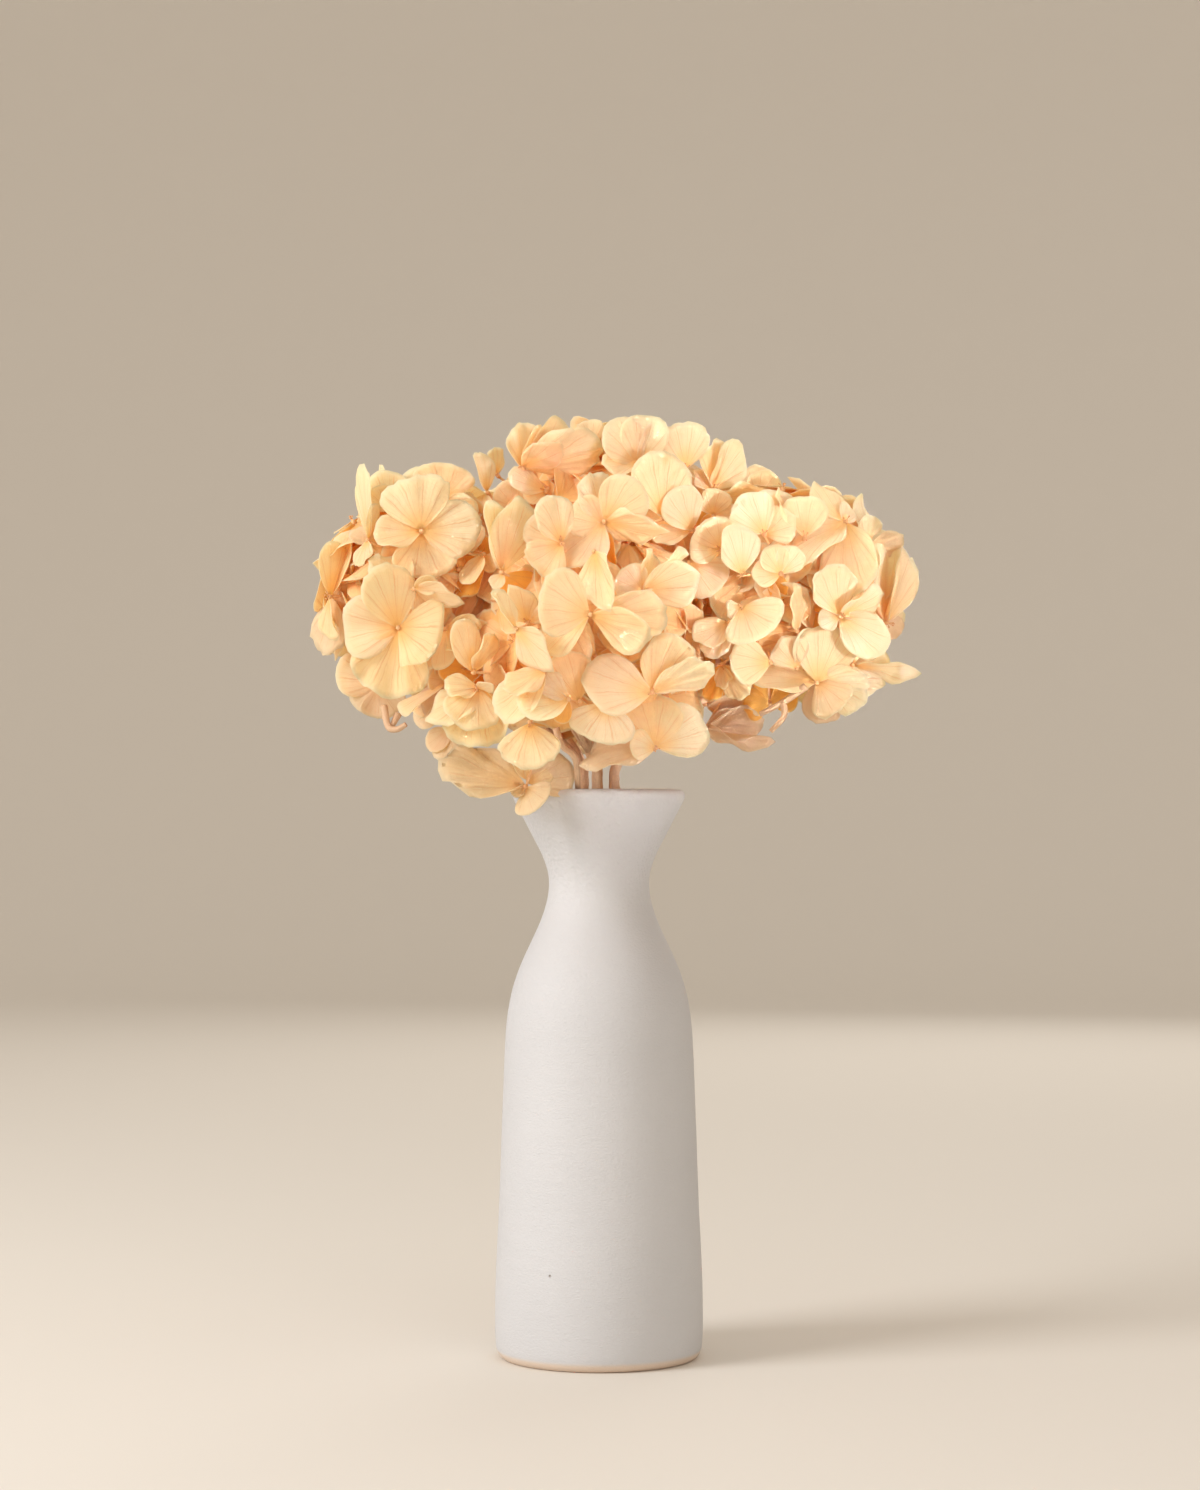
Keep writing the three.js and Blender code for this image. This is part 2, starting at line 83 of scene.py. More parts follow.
# A taper is the share of the radius at the start and at the end of a bar.
STEM_RADIUS = 1.9
STEM_TAPER = (1.15, 0.75)
STEM_SIDES = 10
STEM_RING = 7.6  # around the axis, in the neck
STEM_SPREAD = 19  # around the axis, on the vase's floor
NECK_HEIGHT = 187
KNOT_SIZE = 0.12  # of the stem's radius
KNOT_PACE = 0.9  # radians for each step along a stem
RAYS = 9
RAY_REACH = 0.5  # of the head's radius
RAY_RADIUS = 1.2
RAY_TAPER = (1.1, 0.7)
TWIG_RADIUS = 1.3
TWIG_TAPER = (1.2, 0.8)
STALK_RADIUS = 0.55
STALK_TAPER = (1.3, 1)
STALK_SAG = 0.12  # of its length
BAR_SIDES = 6
BLUNT_END = 0.3  # the radius of a bar's end, as a share of its last ring's

# ---- Florets ----

BLADE = 0.14  # a petal's thickness
CLAW_SHARE = 0.1  # of a petal's length
LAYER = 1.0  # between the claws of two petals of a floret
PAINTED_GLOW_DEPTH = 16  # how far under a dome the painted glow grows to its full strength: the orange glow of light in the shaded hollow
PAINTED_GLOW = 0.55  # how much more orange the petals are painted there, as painted glow of the shaded hollow

# Listed florets
USUAL_WIDTH = 1.05  # of a petal's length
WIDEST = 27
USUAL_SHARE = 0.45  # of the usual width in a petal that is seen narrower
FACING = 1.2  # how much they turn from the dome's direction to the viewer
SEEN_TURN = 0.2  # radians that a petal may vary about its length
SEEN_SETTLE = 0.7

# Florets of the rule
CANDIDATES = 240
LOWEST = -0.62  # the height of the lowest direction from a dome's middle
SPACING = 28
SEEN_SPACING = 25  # to a listed floret
DOME_MARGIN = 2  # to another dome
RULED_LENGTH = (23, 28)
RULED_BREADTH = (0.95, 1.3)  # of the length
RULED_DRIFT = 0.5  # of a floret's face from the dome's direction
RULED_TURN = 0.35  # radians, either way, of a petal about its length
RULED_SETTLE = 0.8
EYE_DEPTH = 2  # under the dome, for the lowest eyes
DOME_SPREAD = 2  # of the eyes' depths
FILLING_SPREAD = 5
RISE = (4, 16)  # degrees that a petal rises from its floret's plane
ODD_RISE = 5  # more for every other petal
ANGLE_DRIFT = 0.3  # of a petal around its floret

# Layers of florets that the rule adds inside each dome: [share of its radius, spacing, least distance to the
# listed florets and to those on the domes, shortest and longest petal, how much more orange they are painted,
# as painted glow of the dome's shaded hollow]
FILLING = [
    [0.9, 16, 9, (21, 27), 0.1],
    [0.76, 18, 0, (20, 25), 0.4],
]
FILLING_DEPTH = 3

# Rows and columns of a petal's mesh
TOOTHED_GRID = (8, 30)
PLAIN_GRID = (8, 20)
FILLING_GRID = (6, 14)
TOOTHED_FROM = 0.01  # the scallop that needs the finer grid

# What each word changes in a petal's form, in shares of its length, and how warm and how dry it makes it.
# Two of the tints are painted light rather than the petal's own colour: one paints the orange glow of a
# shaded hollow, the other paints a petal greyer for the shadow it lies in.
FORMS = {
    "flat": {
        "root_bend": 0.0, "tip_bend": -0.15, "cup": 0.1, "fold": 0.0, "curl": 0.0, "twist": 0.0,
        "ripple": 0.01,
    },
    "pointed": {"point": 0.3, "roundness": 1.7},
    "folded": {"fold": 0.5, "cup": 0.1},
    "rolled": {"curl": 2.2},
    "toothed": {"scallop": 0.05, "curl": 0.0},
    "crumpled": {"crinkle": 0.02, "ripple": 0.08, "waves": 4.5},
}
# Painted light: the first word paints the orange glow of a shaded hollow, the second paints the grey of a
# petal in shadow; brown is a petal's own dry colour.
TINTS = {"deep": (0.8, 0.0), "dull": (-0.05, 0.45), "brown": (0.25, 0.8)}

# Each flower head: its dome's middle and radius, how far past the radius the tips of its ruled petals may
# reach, the turn of its stem around the neck in degrees, the fork below it, and the florets that show from
# the front. A floret is its eye's place on the grid and how far it stands off the dome, and then its petals
# from the front one to the back one: the tip's place on the grid, how broad the petal looks in steps, how
# far its tip stands towards the viewer from the eye, and words for its form and colour. A petal that is
# turned about its own length has its left edge nearer the viewer, or its right one if the breadth is
# negative. A twig is a list of places on the grid, each with how far it is behind the vase's axis.
HEADS = {
    "left": {
        "centre": (-68, -8, 304), "radius": 41, "proud": -1, "turn": 200, "fork": (-46, -9, 268),
        "seen": [
            [(421, 530, 6), (410, 473, 70, 3, "toothed"), (480, 529, 56, 1), (373, 533, 36, 2),
             (426, 577, 64, 0)],
            [(398, 627, 8), (381, 562, 54, 3, "flat"), (440, 641, 80, 4), (382, 697, 78, 0),
             (342, 626, 62, -3)],
            [(330, 596, 2), (339, 640, 16, 6, "folded"), (337, 541, 28, 0), (353, 529, -26, -3),
             (316, 655, 30, -8, "dull")],
            [(368, 540, 4), (361, 568, 20, 5), (374, 502, 12, 4, "flat"), (360, 462, -19, -1, "flat"),
             (351, 528, 22, -3, "dull")],
            [(442, 500, 0), (445, 464, 62, 3), (477, 514, 28, 0), (407, 470, 26, -1), (428, 461, 30, -5)],
            [(392, 512, -2), (372, 488, 28, 2), (384, 469, 46, 0)],
            [(414, 588, 2), (437, 578, 18, 3), (463, 603, 22, 3, "pointed"), (372, 556, 20, 0),
             (428, 606, 30, -3)],
            [(446, 628, 0), (473, 642, 42, 4, "rolled"), (482, 624, 20, 3), (441, 668, 26, 2),
             (500, 640, 32, -2, "rolled")],
            [(447, 680, -2), (398, 713, 17, 3), (430, 672, 30, 0), (424, 714, 22, -3, "brown")],
            [(380, 684, -6), (388, 717, 48, -2, "dull"), (352, 706, 56, -3, "dull"), (337, 668, 50, -2)],
        ],
        "twigs": [
            [(384, 706, -40), (388, 726, -44), (397, 729, -46), (406, 724, -47)],
            [(398, 714, -40), (392, 726, -43)],
        ],
    },
    "centre": {
        "centre": (-6, -20, 285), "radius": 54, "proud": -1, "turn": 262, "fork": (-4, -12, 240),
        "seen": [
            [(604, 521, 7), (640, 482, 52, 4), (671, 529, 30, 3, "pointed"), (562, 566, 46, 4),
             (571, 506, 42, 2), (598, 466, 46, 0, "toothed"), (612, 568, 26, -2, "deep")],
            [(562, 543, 3), (547, 496, 36, 4), (533, 572, 46, 2, "toothed"), (531, 514, 44, -1)],
            [(502, 572, 2), (487, 500, 24, 5, "folded"), (521, 496, 38, 1), (492, 588, 16, 2),
             (530, 600, 44, -5, "deep")],
            [(590, 614, 8), (538, 595, 66, 7, "flat"), (655, 636, 34, 5), (668, 618, 46, 1),
             (541, 647, 42, -7)],
            [(594, 551, 12), (612, 611, 34, 9, "pointed folded")],
            [(516, 628, 11), (491, 589, 13, 4, "folded"), (552, 670, 34, 5, "pointed flat")],
            [(652, 692, 9), (580, 680, 60, 5), (716, 665, 27, 4), (684, 636, 50, 2)],
            [(655, 747, 10), (628, 741, 28, 6), (652, 693, 58, 4), (704, 721, 56, 3),
             (582, 770, 38, 2, "dull")],
            [(569, 699, 9), (516, 705, 42, 6), (541, 675, 26, 3), (556, 722, 20, -3, "deep")],
            [(606, 702, 5), (598, 742, 66, 4)],
            [(547, 669, 8), (503, 690, 28, 5), (499, 713, 38, 1)],
            [(530, 722, 11), (530, 768, 60, 4, "toothed")],
            [(478, 687, 7), (494, 684, 10, 8), (466, 731, 56, 6), (443, 689, 28, 5, "rolled"),
             (425, 722, 36, 2), (472, 752, 64, 2)],
            [(442, 698, -4), (421, 728, 30, 0, "dull"), (410, 707, 26, -2)],
            [(450, 728, 2), (440, 760, 26, 3, "dull"), (428, 750, 24, 0, "dull")],
            [(526, 786, 12), (541, 805, 44, 8, "flat dull"), (441, 761, 46, 3, "dull crumpled"),
             (512, 796, 16, 3, "dull"), (547, 762, 34, 0), (571, 770, 46, 1, "dull"), (513, 757, 18, 2)],
            [(474, 672, 5), (461, 619, 28, 5, "rolled"), (493, 629, 20, 4, "rolled")],
            [(484, 554, 0), (464, 585, 20, 3), (495, 569, 18, 2), (447, 590, 36, -3, "deep")],
            [(528, 622, 3), (508, 584, 30, 2, "pointed"), (541, 600, 30, -1)],
            [(546, 491, 3), (508, 474, 26, 4), (522, 492, 24, 1)],
            [(516, 508, -1), (503, 482, 34, 2)],
            [(580, 700, 3), (558, 655, 52, 0)],
            [(470, 668, -12), (440, 655, 40, 0, "deep"), (497, 652, 44, 0, "deep"),
             (470, 704, 40, 0, "deep"), (462, 630, 38, -4, "deep")],
            [(478, 562, -11), (462, 533, 38, 0, "deep"), (502, 545, 36, 0, "deep"),
             (473, 596, 42, 0, "deep")],
        ],
        "twigs": [[(556, 728, -52), (562, 745, -50), (575, 758, -44), (578, 790, -24)]],
    },
    "right": {
        "centre": (72, -6, 301), "radius": 45, "proud": -1, "turn": 340, "fork": (48, -9, 266),
        "seen": [
            [(765, 534, 4), (742, 494, 48, 3), (797, 515, 38, 3), (776, 487, 46, -1)],
            [(805, 537, 2), (804, 495, 46, 1), (778, 486, 26, -2)],
            [(846, 521, 8), (786, 573, 36, 6, "pointed"), (856, 596, 52, 5), (815, 479, 36, -5),
             (852, 502, 22, -5)],
            [(841, 616, 10), (878, 583, 26, 5, "folded"), (828, 566, 42, 3), (887, 647, 40, 2),
             (820, 622, 24, 0)],
            [(886, 622, 3), (900, 546, 24, 3, "folded"), (881, 535, 30, 2, "folded"), (914, 556, 24, -3),
             (905, 633, 26, 0, "brown")],
            [(868, 545, 0), (872, 514, 26, 0), (905, 541, 26, -3, "dull")],
            [(817, 682, 9), (831, 620, 60, 5, "flat"), (752, 681, 28, 3), (843, 712, 46, 5, "crumpled"),
             (873, 693, 44, 3, "crumpled"), (829, 725, 34, -4, "brown")],
            [(852, 664, 7), (922, 674, 17, 3, "pointed"), (889, 655, 34, 0)],
            [(836, 682, 7), (886, 670, 36, 2, "crumpled")],
            [(797, 667, 4), (781, 634, 42, 3), (812, 628, 30, 1)],
            [(797, 630, 2), (795, 583, 16, 5)],
            [(781, 573, 1), (769, 546, 30, 3), (797, 546, 30, 2), (750, 571, 30, 2),
             (778, 600, 22, -3, "deep")],
            [(742, 606, 5), (766, 634, 66, 5), (728, 616, 24, 2)],
            [(743, 574, 9), (733, 524, 46, 4, "rolled")],
            [(722, 549, 11), (709, 516, 40, 2), (690, 543, 34, 0)],
            [(714, 515, 9), (713, 489, 38, 2, "rolled"), (737, 508, 28, 0)],
            [(690, 562, 13), (722, 588, 46, 3), (712, 552, 30, 0), (684, 598, 36, 0)],
            [(729, 622, 5), (694, 641, 32, 4), (713, 659, 32, 2)],
            [(771, 662, 6), (728, 660, 46, 4)],
            [(722, 664, 2), (725, 690, 16, 4), (745, 697, 28, 2), (707, 700, 28, -1, "deep")],
            [(706, 727, 3), (775, 742, 13, 3, "pointed folded brown"), (767, 721, 26, 2, "brown"),
             (745, 712, 22, 0, "brown")],
            [(706, 703, 1), (764, 712, 26, 1, "dull"), (742, 698, 26, 0, "deep")],
            [(705, 602, -13), (690, 566, 42, 0, "deep"), (738, 590, 40, 0, "deep"),
             (706, 644, 42, 0, "deep"), (668, 615, 40, 0, "deep")],
            [(700, 540, -12), (684, 510, 40, 0, "deep"), (730, 520, 36, 0, "deep"),
             (722, 568, 36, 0, "deep"), (674, 556, 36, 0, "deep")],
            [(808, 606, -10), (788, 580, 36, 0, "deep"), (835, 590, 34, 0, "deep"),
             (806, 642, 38, 0, "deep"), (776, 622, 34, 0, "deep")],
            [(770, 702, -10), (740, 704, 34, 0, "deep"), (800, 692, 32, 0, "deep"),
             (768, 676, 34, 0, "deep")],
        ],
        "twigs": [
            [(806, 686, -46), (783, 702, -44), (760, 714, -42)],
            [(783, 702, -44), (784, 716, -45), (771, 731, -46)],
        ],
    },
    "top": {
        "centre": (2, 8, 315), "radius": 56, "proud": -5, "turn": 90, "fork": (3, 24, 272),
        "seen": [
            [(643, 590, 26), (685, 546, 8, 7), (619, 572, 40, 3), (702, 574, 40, 5), (650, 548, 16, 0)],
            [(523, 467, 4), (562, 442, 26, 8), (600, 438, 44, 7, "toothed"), (540, 422, 18, 2),
             (522, 420, 38, 0), (562, 416, 38, -5)],
            [(488, 492, 2), (478, 452, 22, 1)],
            [(498, 475, 2), (495, 447, 18, 2)],
            [(639, 463, 2), (601, 464, 24, 3), (610, 420, 46, 1), (644, 413, 46, -2),
             (663, 420, 26, -5, "dull")],
            [(663, 518, 5), (660, 450, 56, 2)],
            [(692, 530, 9), (671, 485, 42, 4), (651, 535, 18, 0)],
            [(685, 469, 2), (682, 421, 48, 1)],
            [(665, 450, -3), (656, 424, 26, -2)],
            [(712, 489, 3), (718, 438, 26, 3), (736, 439, 28, 1, "folded"), (696, 467, 16, 2)],
            [(757, 500, -2), (768, 469, 36, 2), (756, 462, 38, -1)],
            [(592, 445, -6), (588, 420, 30, -1)],
        ],
        "twigs": [],
    },
    "back_left": {
        "centre": (-46, 42, 300), "radius": 43, "proud": 8, "turn": 140, "fork": (-31, 32, 265),
        "seen": [],
        "twigs": [],
    },
    "back_right": {
        "centre": (45, 44, 302), "radius": 45, "proud": 9, "turn": 40, "fork": (32, 33, 267),
        "seen": [],
        "twigs": [],
    },
}

# ---- Light, stage and look ----

# These lengths are in metres. Each light: its place, what it shines at, its size, power and colour, and the
# width of its beam in degrees.
LIGHTS = {
    "key": [(-1.4, -0.75, 0.95), (0, 0, 0.28), 0.9, 24, (0.98, 0.985, 1), 180],
    "fill": [(0.5, -1.75, 0.6), (0, 0, 0.3), 1.5, 7.4, (1, 0.97, 0.96), 180],
    "flowers": [(0.8, -1.5, 0.12), (0.04, 0, 0.315), 0.1, 0.07, (1, 0.98, 0.99), 8.5],
    "back": [(0.5, 1.8, 1.1), (0, 0, 0.3), 1.5, 6, (1, 0.98, 0.95), 180],
}
SKY_COLOUR = (1, 0.90, 0.79, 1)
SKY_STRENGTH = 0.72
FLOOR_START = 1.0
FLOOR_RADIUS = 2.6
SWEEP = 1.6
SWEEP_STEPS = 16
WALL_HEIGHT = 2.6
STAGE_SIDES = 96
BOUNCES = 40
SOFT_BOUNCES = 24


# ---- Small helpers ----


def chance(item, use):
    """A number from 0 to 1 that looks random and is always the same for the same pair."""
    wave = math.sin(item * 12.9898 + use * 78.233) * 43758.5453
    return wave - math.floor(wave)


def unit(v):
    return v / np.linalg.norm(v)


def mix(low, high, share):
    return low + (high - low) * share


def from_view(right, down, y):
    """The point at a depth behind the vase's axis that a place on the front view's grid shows."""
    scale = 1 + y / VIEW_DISTANCE
    height = (VIEW_FOOT - down) * VIEW_STEP
    return np.array([(right - VIEW_AXIS) * VIEW_STEP * scale, y, EYE_HEIGHT + (height - EYE_HEIGHT) * scale])


def spread_directions(count):
    """Directions spread evenly over a ball, along a spiral of golden angles."""
    i = np.arange(count)
    z = 1 - (2 * i + 1) / count
    flat = np.sqrt(1 - z * z)
    angle = i * math.pi * (3 - math.sqrt(5))
    return np.stack([flat * np.cos(angle), flat * np.sin(angle), z], axis=1)


def spline(points, steps):
    """A Catmull-Rom curve through the points, with that many steps between two of them."""
    p = np.array(points, float)
    p = np.vstack([2 * p[0] - p[1], p, 2 * p[-1] - p[-2]])
    t = np.linspace(0, 1, steps, endpoint=False)[:, None]
    parts = [
        0.5 * (2 * b + (c - a) * t + (2 * a - 5 * b + 4 * c - d) * t**2 + (3 * b - a - 3 * c + d) * t**3)
        for a, b, c, d in zip(p, p[1:], p[2:], p[3:])
    ]
    return np.vstack([*parts, p[-2]])


def curve_between(start, end, sag, steps=7):
    """A gently bent path between two points, pushed aside in the middle."""
    t = np.linspace(0, 1, steps)[:, None]
    return start + (end - start) * t + sag * 4 * t * (1 - t)


# ---- Meshes ----


def link(name, data):
    """A new object in the scene, for a mesh, a light or a camera."""
    thing = bpy.data.objects.new(name, data)
    bpy.context.scene.collection.objects.link(thing)
    return thing


def grid_quads(rows, columns, start=0):
    """Quads between the points of a grid, row by row."""
    corner = start + np.arange(rows)[:, None] * (columns + 1) + np.arange(columns)
    corner = corner.ravel()
    return np.stack([corner, corner + 1, corner + columns + 2, corner + columns + 1], axis=1)


def ring_quads(rings, sides):
    """Quads between closed rings of points that follow one another."""
    low = np.arange(rings - 1)[:, None] * sides
    ring = np.arange(sides)
    after = np.roll(ring, -1)
    return np.stack([low + ring, low + after, low + sides + after, low + sides + ring], axis=2).reshape(-1, 4)


def blade_quads(rows, columns):
    """Quads of a closed thin blade: its upper grid, its lower grid and the rim between them."""
    below = (rows + 1) * (columns + 1)
    upper = grid_quads(rows, columns)
    lower = grid_quads(rows, columns, below)[:, ::-1]
    grid = np.arange(below).reshape(rows + 1, columns + 1)
    ring = np.concatenate([grid[0, :-1], grid[:-1, -1], grid[-1, :0:-1], grid[:0:-1, 0]])
    after = np.roll(ring, -1)
    rim = np.stack([ring, ring + below, after + below, after], axis=1)
    return np.vstack([upper, lower, rim])


def bar(path, radii, sides):
    """Points and quads of a closed round bar along a path, with an even number of sides and blunt ends."""
    path = np.array(path, float)
    along = np.gradient(path, axis=0)
    along /= np.linalg.norm(along, axis=1, keepdims=True)
    side = np.cross(along[0], (0.31, 0.87, 0.38))  # a direction that no bar starts in
    angle = np.linspace(0, 2 * math.pi, sides, endpoint=False)
    rings = []
    for point, way, radius in zip(path, along, radii):
        side = unit(side - way * side.dot(way))
        other = np.cross(way, side)
        rings.append(point + radius * (np.cos(angle)[:, None] * side + np.sin(angle)[:, None] * other))
    first, last = mix(path[0], rings[0], BLUNT_END), mix(path[-1], rings[-1], BLUNT_END)
    fan = np.array([[0, k, k + 1, k + 2] for k in range(1, sides - 1, 2)])
    quads = [ring_quads(len(rings) + 2, sides), fan[:, ::-1], fan + (len(rings) + 1) * sides]
    return np.vstack([first, *rings, last]), np.vstack(quads)


def turned_rings(profile, sides):
    """The points of a profile in rows of [radius, height], turned around the z axis ring by ring."""
    profile = np.array(profile, float)
    angle = np.linspace(0, 2 * math.pi, sides, endpoint=False)
    rings = [
        profile[:, :1] * np.cos(angle), profile[:, :1] * np.sin(angle), profile[:, 1:] * np.ones(sides),
    ]
    return np.stack(rings, axis=2).reshape(-1, 3)


def smooth_piece(name, points, faces, material):
    mesh = bpy.data.meshes.new(name)
    mesh.from_pydata(points, [], faces)
    mesh.shade_smooth()
    mesh.materials.append(material)
    return link(name, mesh)


class Sheaf:
    """Collects the vertices and quads of many small parts for one mesh."""

    def __init__(self):
        self.points, self.quads, self.places, self.tints, self.slots, self.flat = [], [], [], [], [], []
        self.count = 0

    def add(self, points, quads, places, tint, slot, rim=0):
        """Points with their place on the petal's pattern and their tint: how warm, with painted glow in it,
        how dry, with painted shadow in it, and a tone. The last quads, as many as rim says, are the narrow
        edge of a blade and are shaded flat."""
        self.points.append(points)
        self.quads.append(quads + self.count)
        self.places.append(places)
        self.tints.append(np.broadcast_to(tint, (len(points), 3)))
        self.slots.append(np.full(len(quads), slot))
        self.flat.append(np.arange(len(quads)) >= len(quads) - rim)
        self.count += len(points)

    def add_bar(self, path, radii, tint, slot, sides=BAR_SIDES):
        points, quads = bar(path, radii, sides)
        self.add(points, quads, np.full((len(points), 2), 0.5), tint, slot)

    def build(self, name, materials):
        points = np.vstack(self.points) * MM
        quads = np.vstack(self.quads)
        mesh = bpy.data.meshes.new(name)
        mesh.vertices.add(len(points))
        mesh.vertices.foreach_set("co", points.ravel())
        mesh.loops.add(quads.size)
        mesh.loops.foreach_set("vertex_index", quads.ravel())
        mesh.polygons.add(len(quads))
        mesh.polygons.foreach_set("loop_start", np.arange(0, quads.size, 4))
        mesh.polygons.foreach_set("material_index", np.concatenate(self.slots))
        for material in materials:
            mesh.materials.append(material)
        mesh.update(calc_edges=True)
        mesh.polygons.foreach_set("use_smooth", ~np.concatenate(self.flat))
        pattern = mesh.uv_layers.new(name="pattern")
        pattern.data.foreach_set("uv", np.vstack(self.places)[quads.ravel()].ravel())
        tint = mesh.color_attributes.new(name="tint", type="FLOAT_COLOR", domain="POINT")
        tints = np.vstack(self.tints)
        tint.data.foreach_set("color", np.hstack([tints, np.ones((len(tints), 1))]).ravel())
        return link(name, mesh)


# ---- Petals ----


def centreline(root_bend, tip_bend, share):
    """Where a bent petal's middle line lies at each share of its length, with its tip at 1 on the first axis,
    and its slope there. The line goes on a little past the tip, for rims that reach farther."""
    s = np.linspace(0, 1.2, 49)
    slope = root_bend * s + tip_bend * s**3
    step = s[1]
    run = np.concatenate([[0], np.cumsum((np.cos(slope[1:]) + np.cos(slope[:-1])) / 2 * step)])
    rise = np.concatenate([[0], np.cumsum((np.sin(slope[1:]) + np.sin(slope[:-1])) / 2 * step)])
    tip = np.array([np.interp(1, s, run), np.interp(1, s, rise)])
    size = np.linalg.norm(tip)
    turn = math.atan2(tip[1], tip[0])
    x = (run * math.cos(turn) + rise * math.sin(turn)) / size
    z = (rise * math.cos(turn) - run * math.sin(turn)) / size
    return np.interp(share, s, x), np.interp(share, s, z), np.interp(share, s, slope) - turn


class PetalForm:
    """The draws that shape one petal. Lengths are shares of the petal's length, and settle says how much it
    bends along its length."""

    def __init__(self, order, k, settle, words):
        def draw(use, low, high):
            return mix(low, high, chance(order + 0.37 * k, use))

        def happens(use, share):
            return chance(order, use + k) > 1 - share

        self.half_angle = math.radians(draw(60, 50, 66))
        self.fullness = draw(61, 0.38, 0.52)
        self.roundness = draw(84, 2.0, 3.2)
        self.point = draw(62, -0.04, 0.05) + (draw(85, 0.04, 0.14) if happens(86, 0.3) else 0)
        self.unevenness = draw(90, -0.07, 0.07)
        self.root_bend = draw(63, -0.2, 0.35) * settle
        self.tip_bend = draw(64, -0.8, 0.3) * settle
        self.cup = draw(65, -0.7, 0.6)
        self.fold = draw(91, 0.1, 0.4) if happens(92, 0.25) else draw(93, -0.08, 0.12)
        self.curl = draw(66, 0.5, 1.5) if happens(67, 0.2) else 0.0
        self.curl_side = 1 if happens(72, 0.5) else -1
        self.twist = draw(77, -0.22, 0.22)
        self.ripple = draw(78, 0.012, 0.075)
        self.waves = draw(79, 1.2, 4.5)
        self.phase = draw(80, 0, 6.28)
        self.crinkle = draw(81, 0.003, 0.008)
        self.scallop = draw(82, 0.015, 0.045) if happens(83, 0.4) else 0.008
        for word in words:
            vars(self).update(FORMS.get(word, {}))


def petal_outline(t, form):
    """How far the rim reaches at each angle across the petal, as a share of its length."""
    body = np.clip(1 - np.abs(t) ** form.roundness, 0, 1) ** form.fullness
    tip = 1 + form.point * (np.exp(-((t / 0.2) ** 2)) - 1)
    tip = tip + form.unevenness * np.sin(2.6 * t + form.phase) * (1 - t**2)
    teeth = 1 - form.scallop * (np.abs(np.sin(t * 11 + form.phase)) + 0.5 * np.sin(t * 29)) * (1 - t**4)
    return CLAW_SHARE + (1 - CLAW_SHARE) * body * tip * teeth


def petal_relief(x, y, t, u, form):
    """How far the blade is lifted at each point by its twist, its fold, the waves of its rim and crinkles."""
    lift = form.twist * y * x + form.fold * (np.sqrt(y**2 + 0.002) - 0.045)
    lift += form.ripple * u**2.5 * np.sin(form.waves * t * math.pi + form.phase)
    for k, (a, b) in enumerate([(9, 4), (-5, 11), (14, -8)]):
        lift += form.crinkle * u * np.sin(a * x + b * y + form.phase * (k + 1))
    return lift


def petal_blade(claw, petal, form, rows, columns):
    """The points of a petal's upper and lower faces and their place on its pattern of veins."""
    v = np.linspace(-1, 1, columns + 1)[None, :]
    u = np.linspace(0, 1, rows + 1)[:, None]
    t = np.sin(v * math.pi / 2) * np.ones_like(u)
    root = 0.04
    r = root + u * (petal_outline(t, form) - root)
    x, y = r * np.cos(form.half_angle * t), r * np.sin(form.half_angle * t)
    y *= petal["width"] / petal["length"] / np.ptp(y)

    lift = petal_relief(x, y, t, u, form)
    roll = form.cup * (0.4 + 0.6 * x) + form.curl * np.clip(form.curl_side * y - 0.12, 0, None) * 3 * x
    roll = np.where(np.abs(roll) < 1e-3, 1e-3, roll)
    side = np.sin(roll * y) / roll
    lift += (1 - np.cos(roll * y)) / roll
    line_x, line_z, slope = centreline(form.root_bend, form.tip_bend, x)

    way, across = petal["way"], petal["across"]
    over = np.cross(way, across)
    forward = line_x - lift * np.sin(slope)
    upward = line_z + lift * np.cos(slope)
    local = forward[..., None] * way + side[..., None] * across + upward[..., None] * over
    points = claw + petal["length"] * local

    normal = np.cross(np.gradient(points, axis=0), np.gradient(points, axis=1))
    normal /= np.maximum(np.linalg.norm(normal, axis=2, keepdims=True), 1e-9)
    normal *= np.sign((normal * over).sum(axis=2).mean()) or 1
    upper = points + normal * BLADE / 2
    lower = points - normal * BLADE / 2
    places = np.stack([0.5 + t * 0.5, u * np.ones_like(t)], axis=2).reshape(-1, 2)
    return np.vstack([upper.reshape(-1, 3), lower.reshape(-1, 3)]), np.vstack([places, places])


# ---- Florets ----


def turned(across, way, angle):
    """A petal's direction across, turned about its length."""
    return across * math.cos(angle) + np.cross(way, across) * math.sin(angle)


def dome_middle(head):
    """The middle of a head's dome as an array."""
    return np.array(head["centre"], float)


def seen_petal(reach, breadth, words, order, k):
    """A listed petal that reaches from the eye to its tip and looks that broad from the front."""
    length = np.linalg.norm(reach)
    way = reach / length
    seen_width = abs(breadth) * VIEW_STEP
    usual = min(USUAL_WIDTH * length, WIDEST)
    width = max(mix(seen_width, usual, USUAL_SHARE), seen_width)
    angle = math.copysign(math.acos(seen_width / width), breadth) + SEEN_TURN * (chance(order, 40 + k) - 0.5)
    across = turned(unit(np.cross((0, -1, 0), way)), way, angle)
    return {"way": way, "across": across, "length": length, "width": width, "words": " ".join(words).split()}


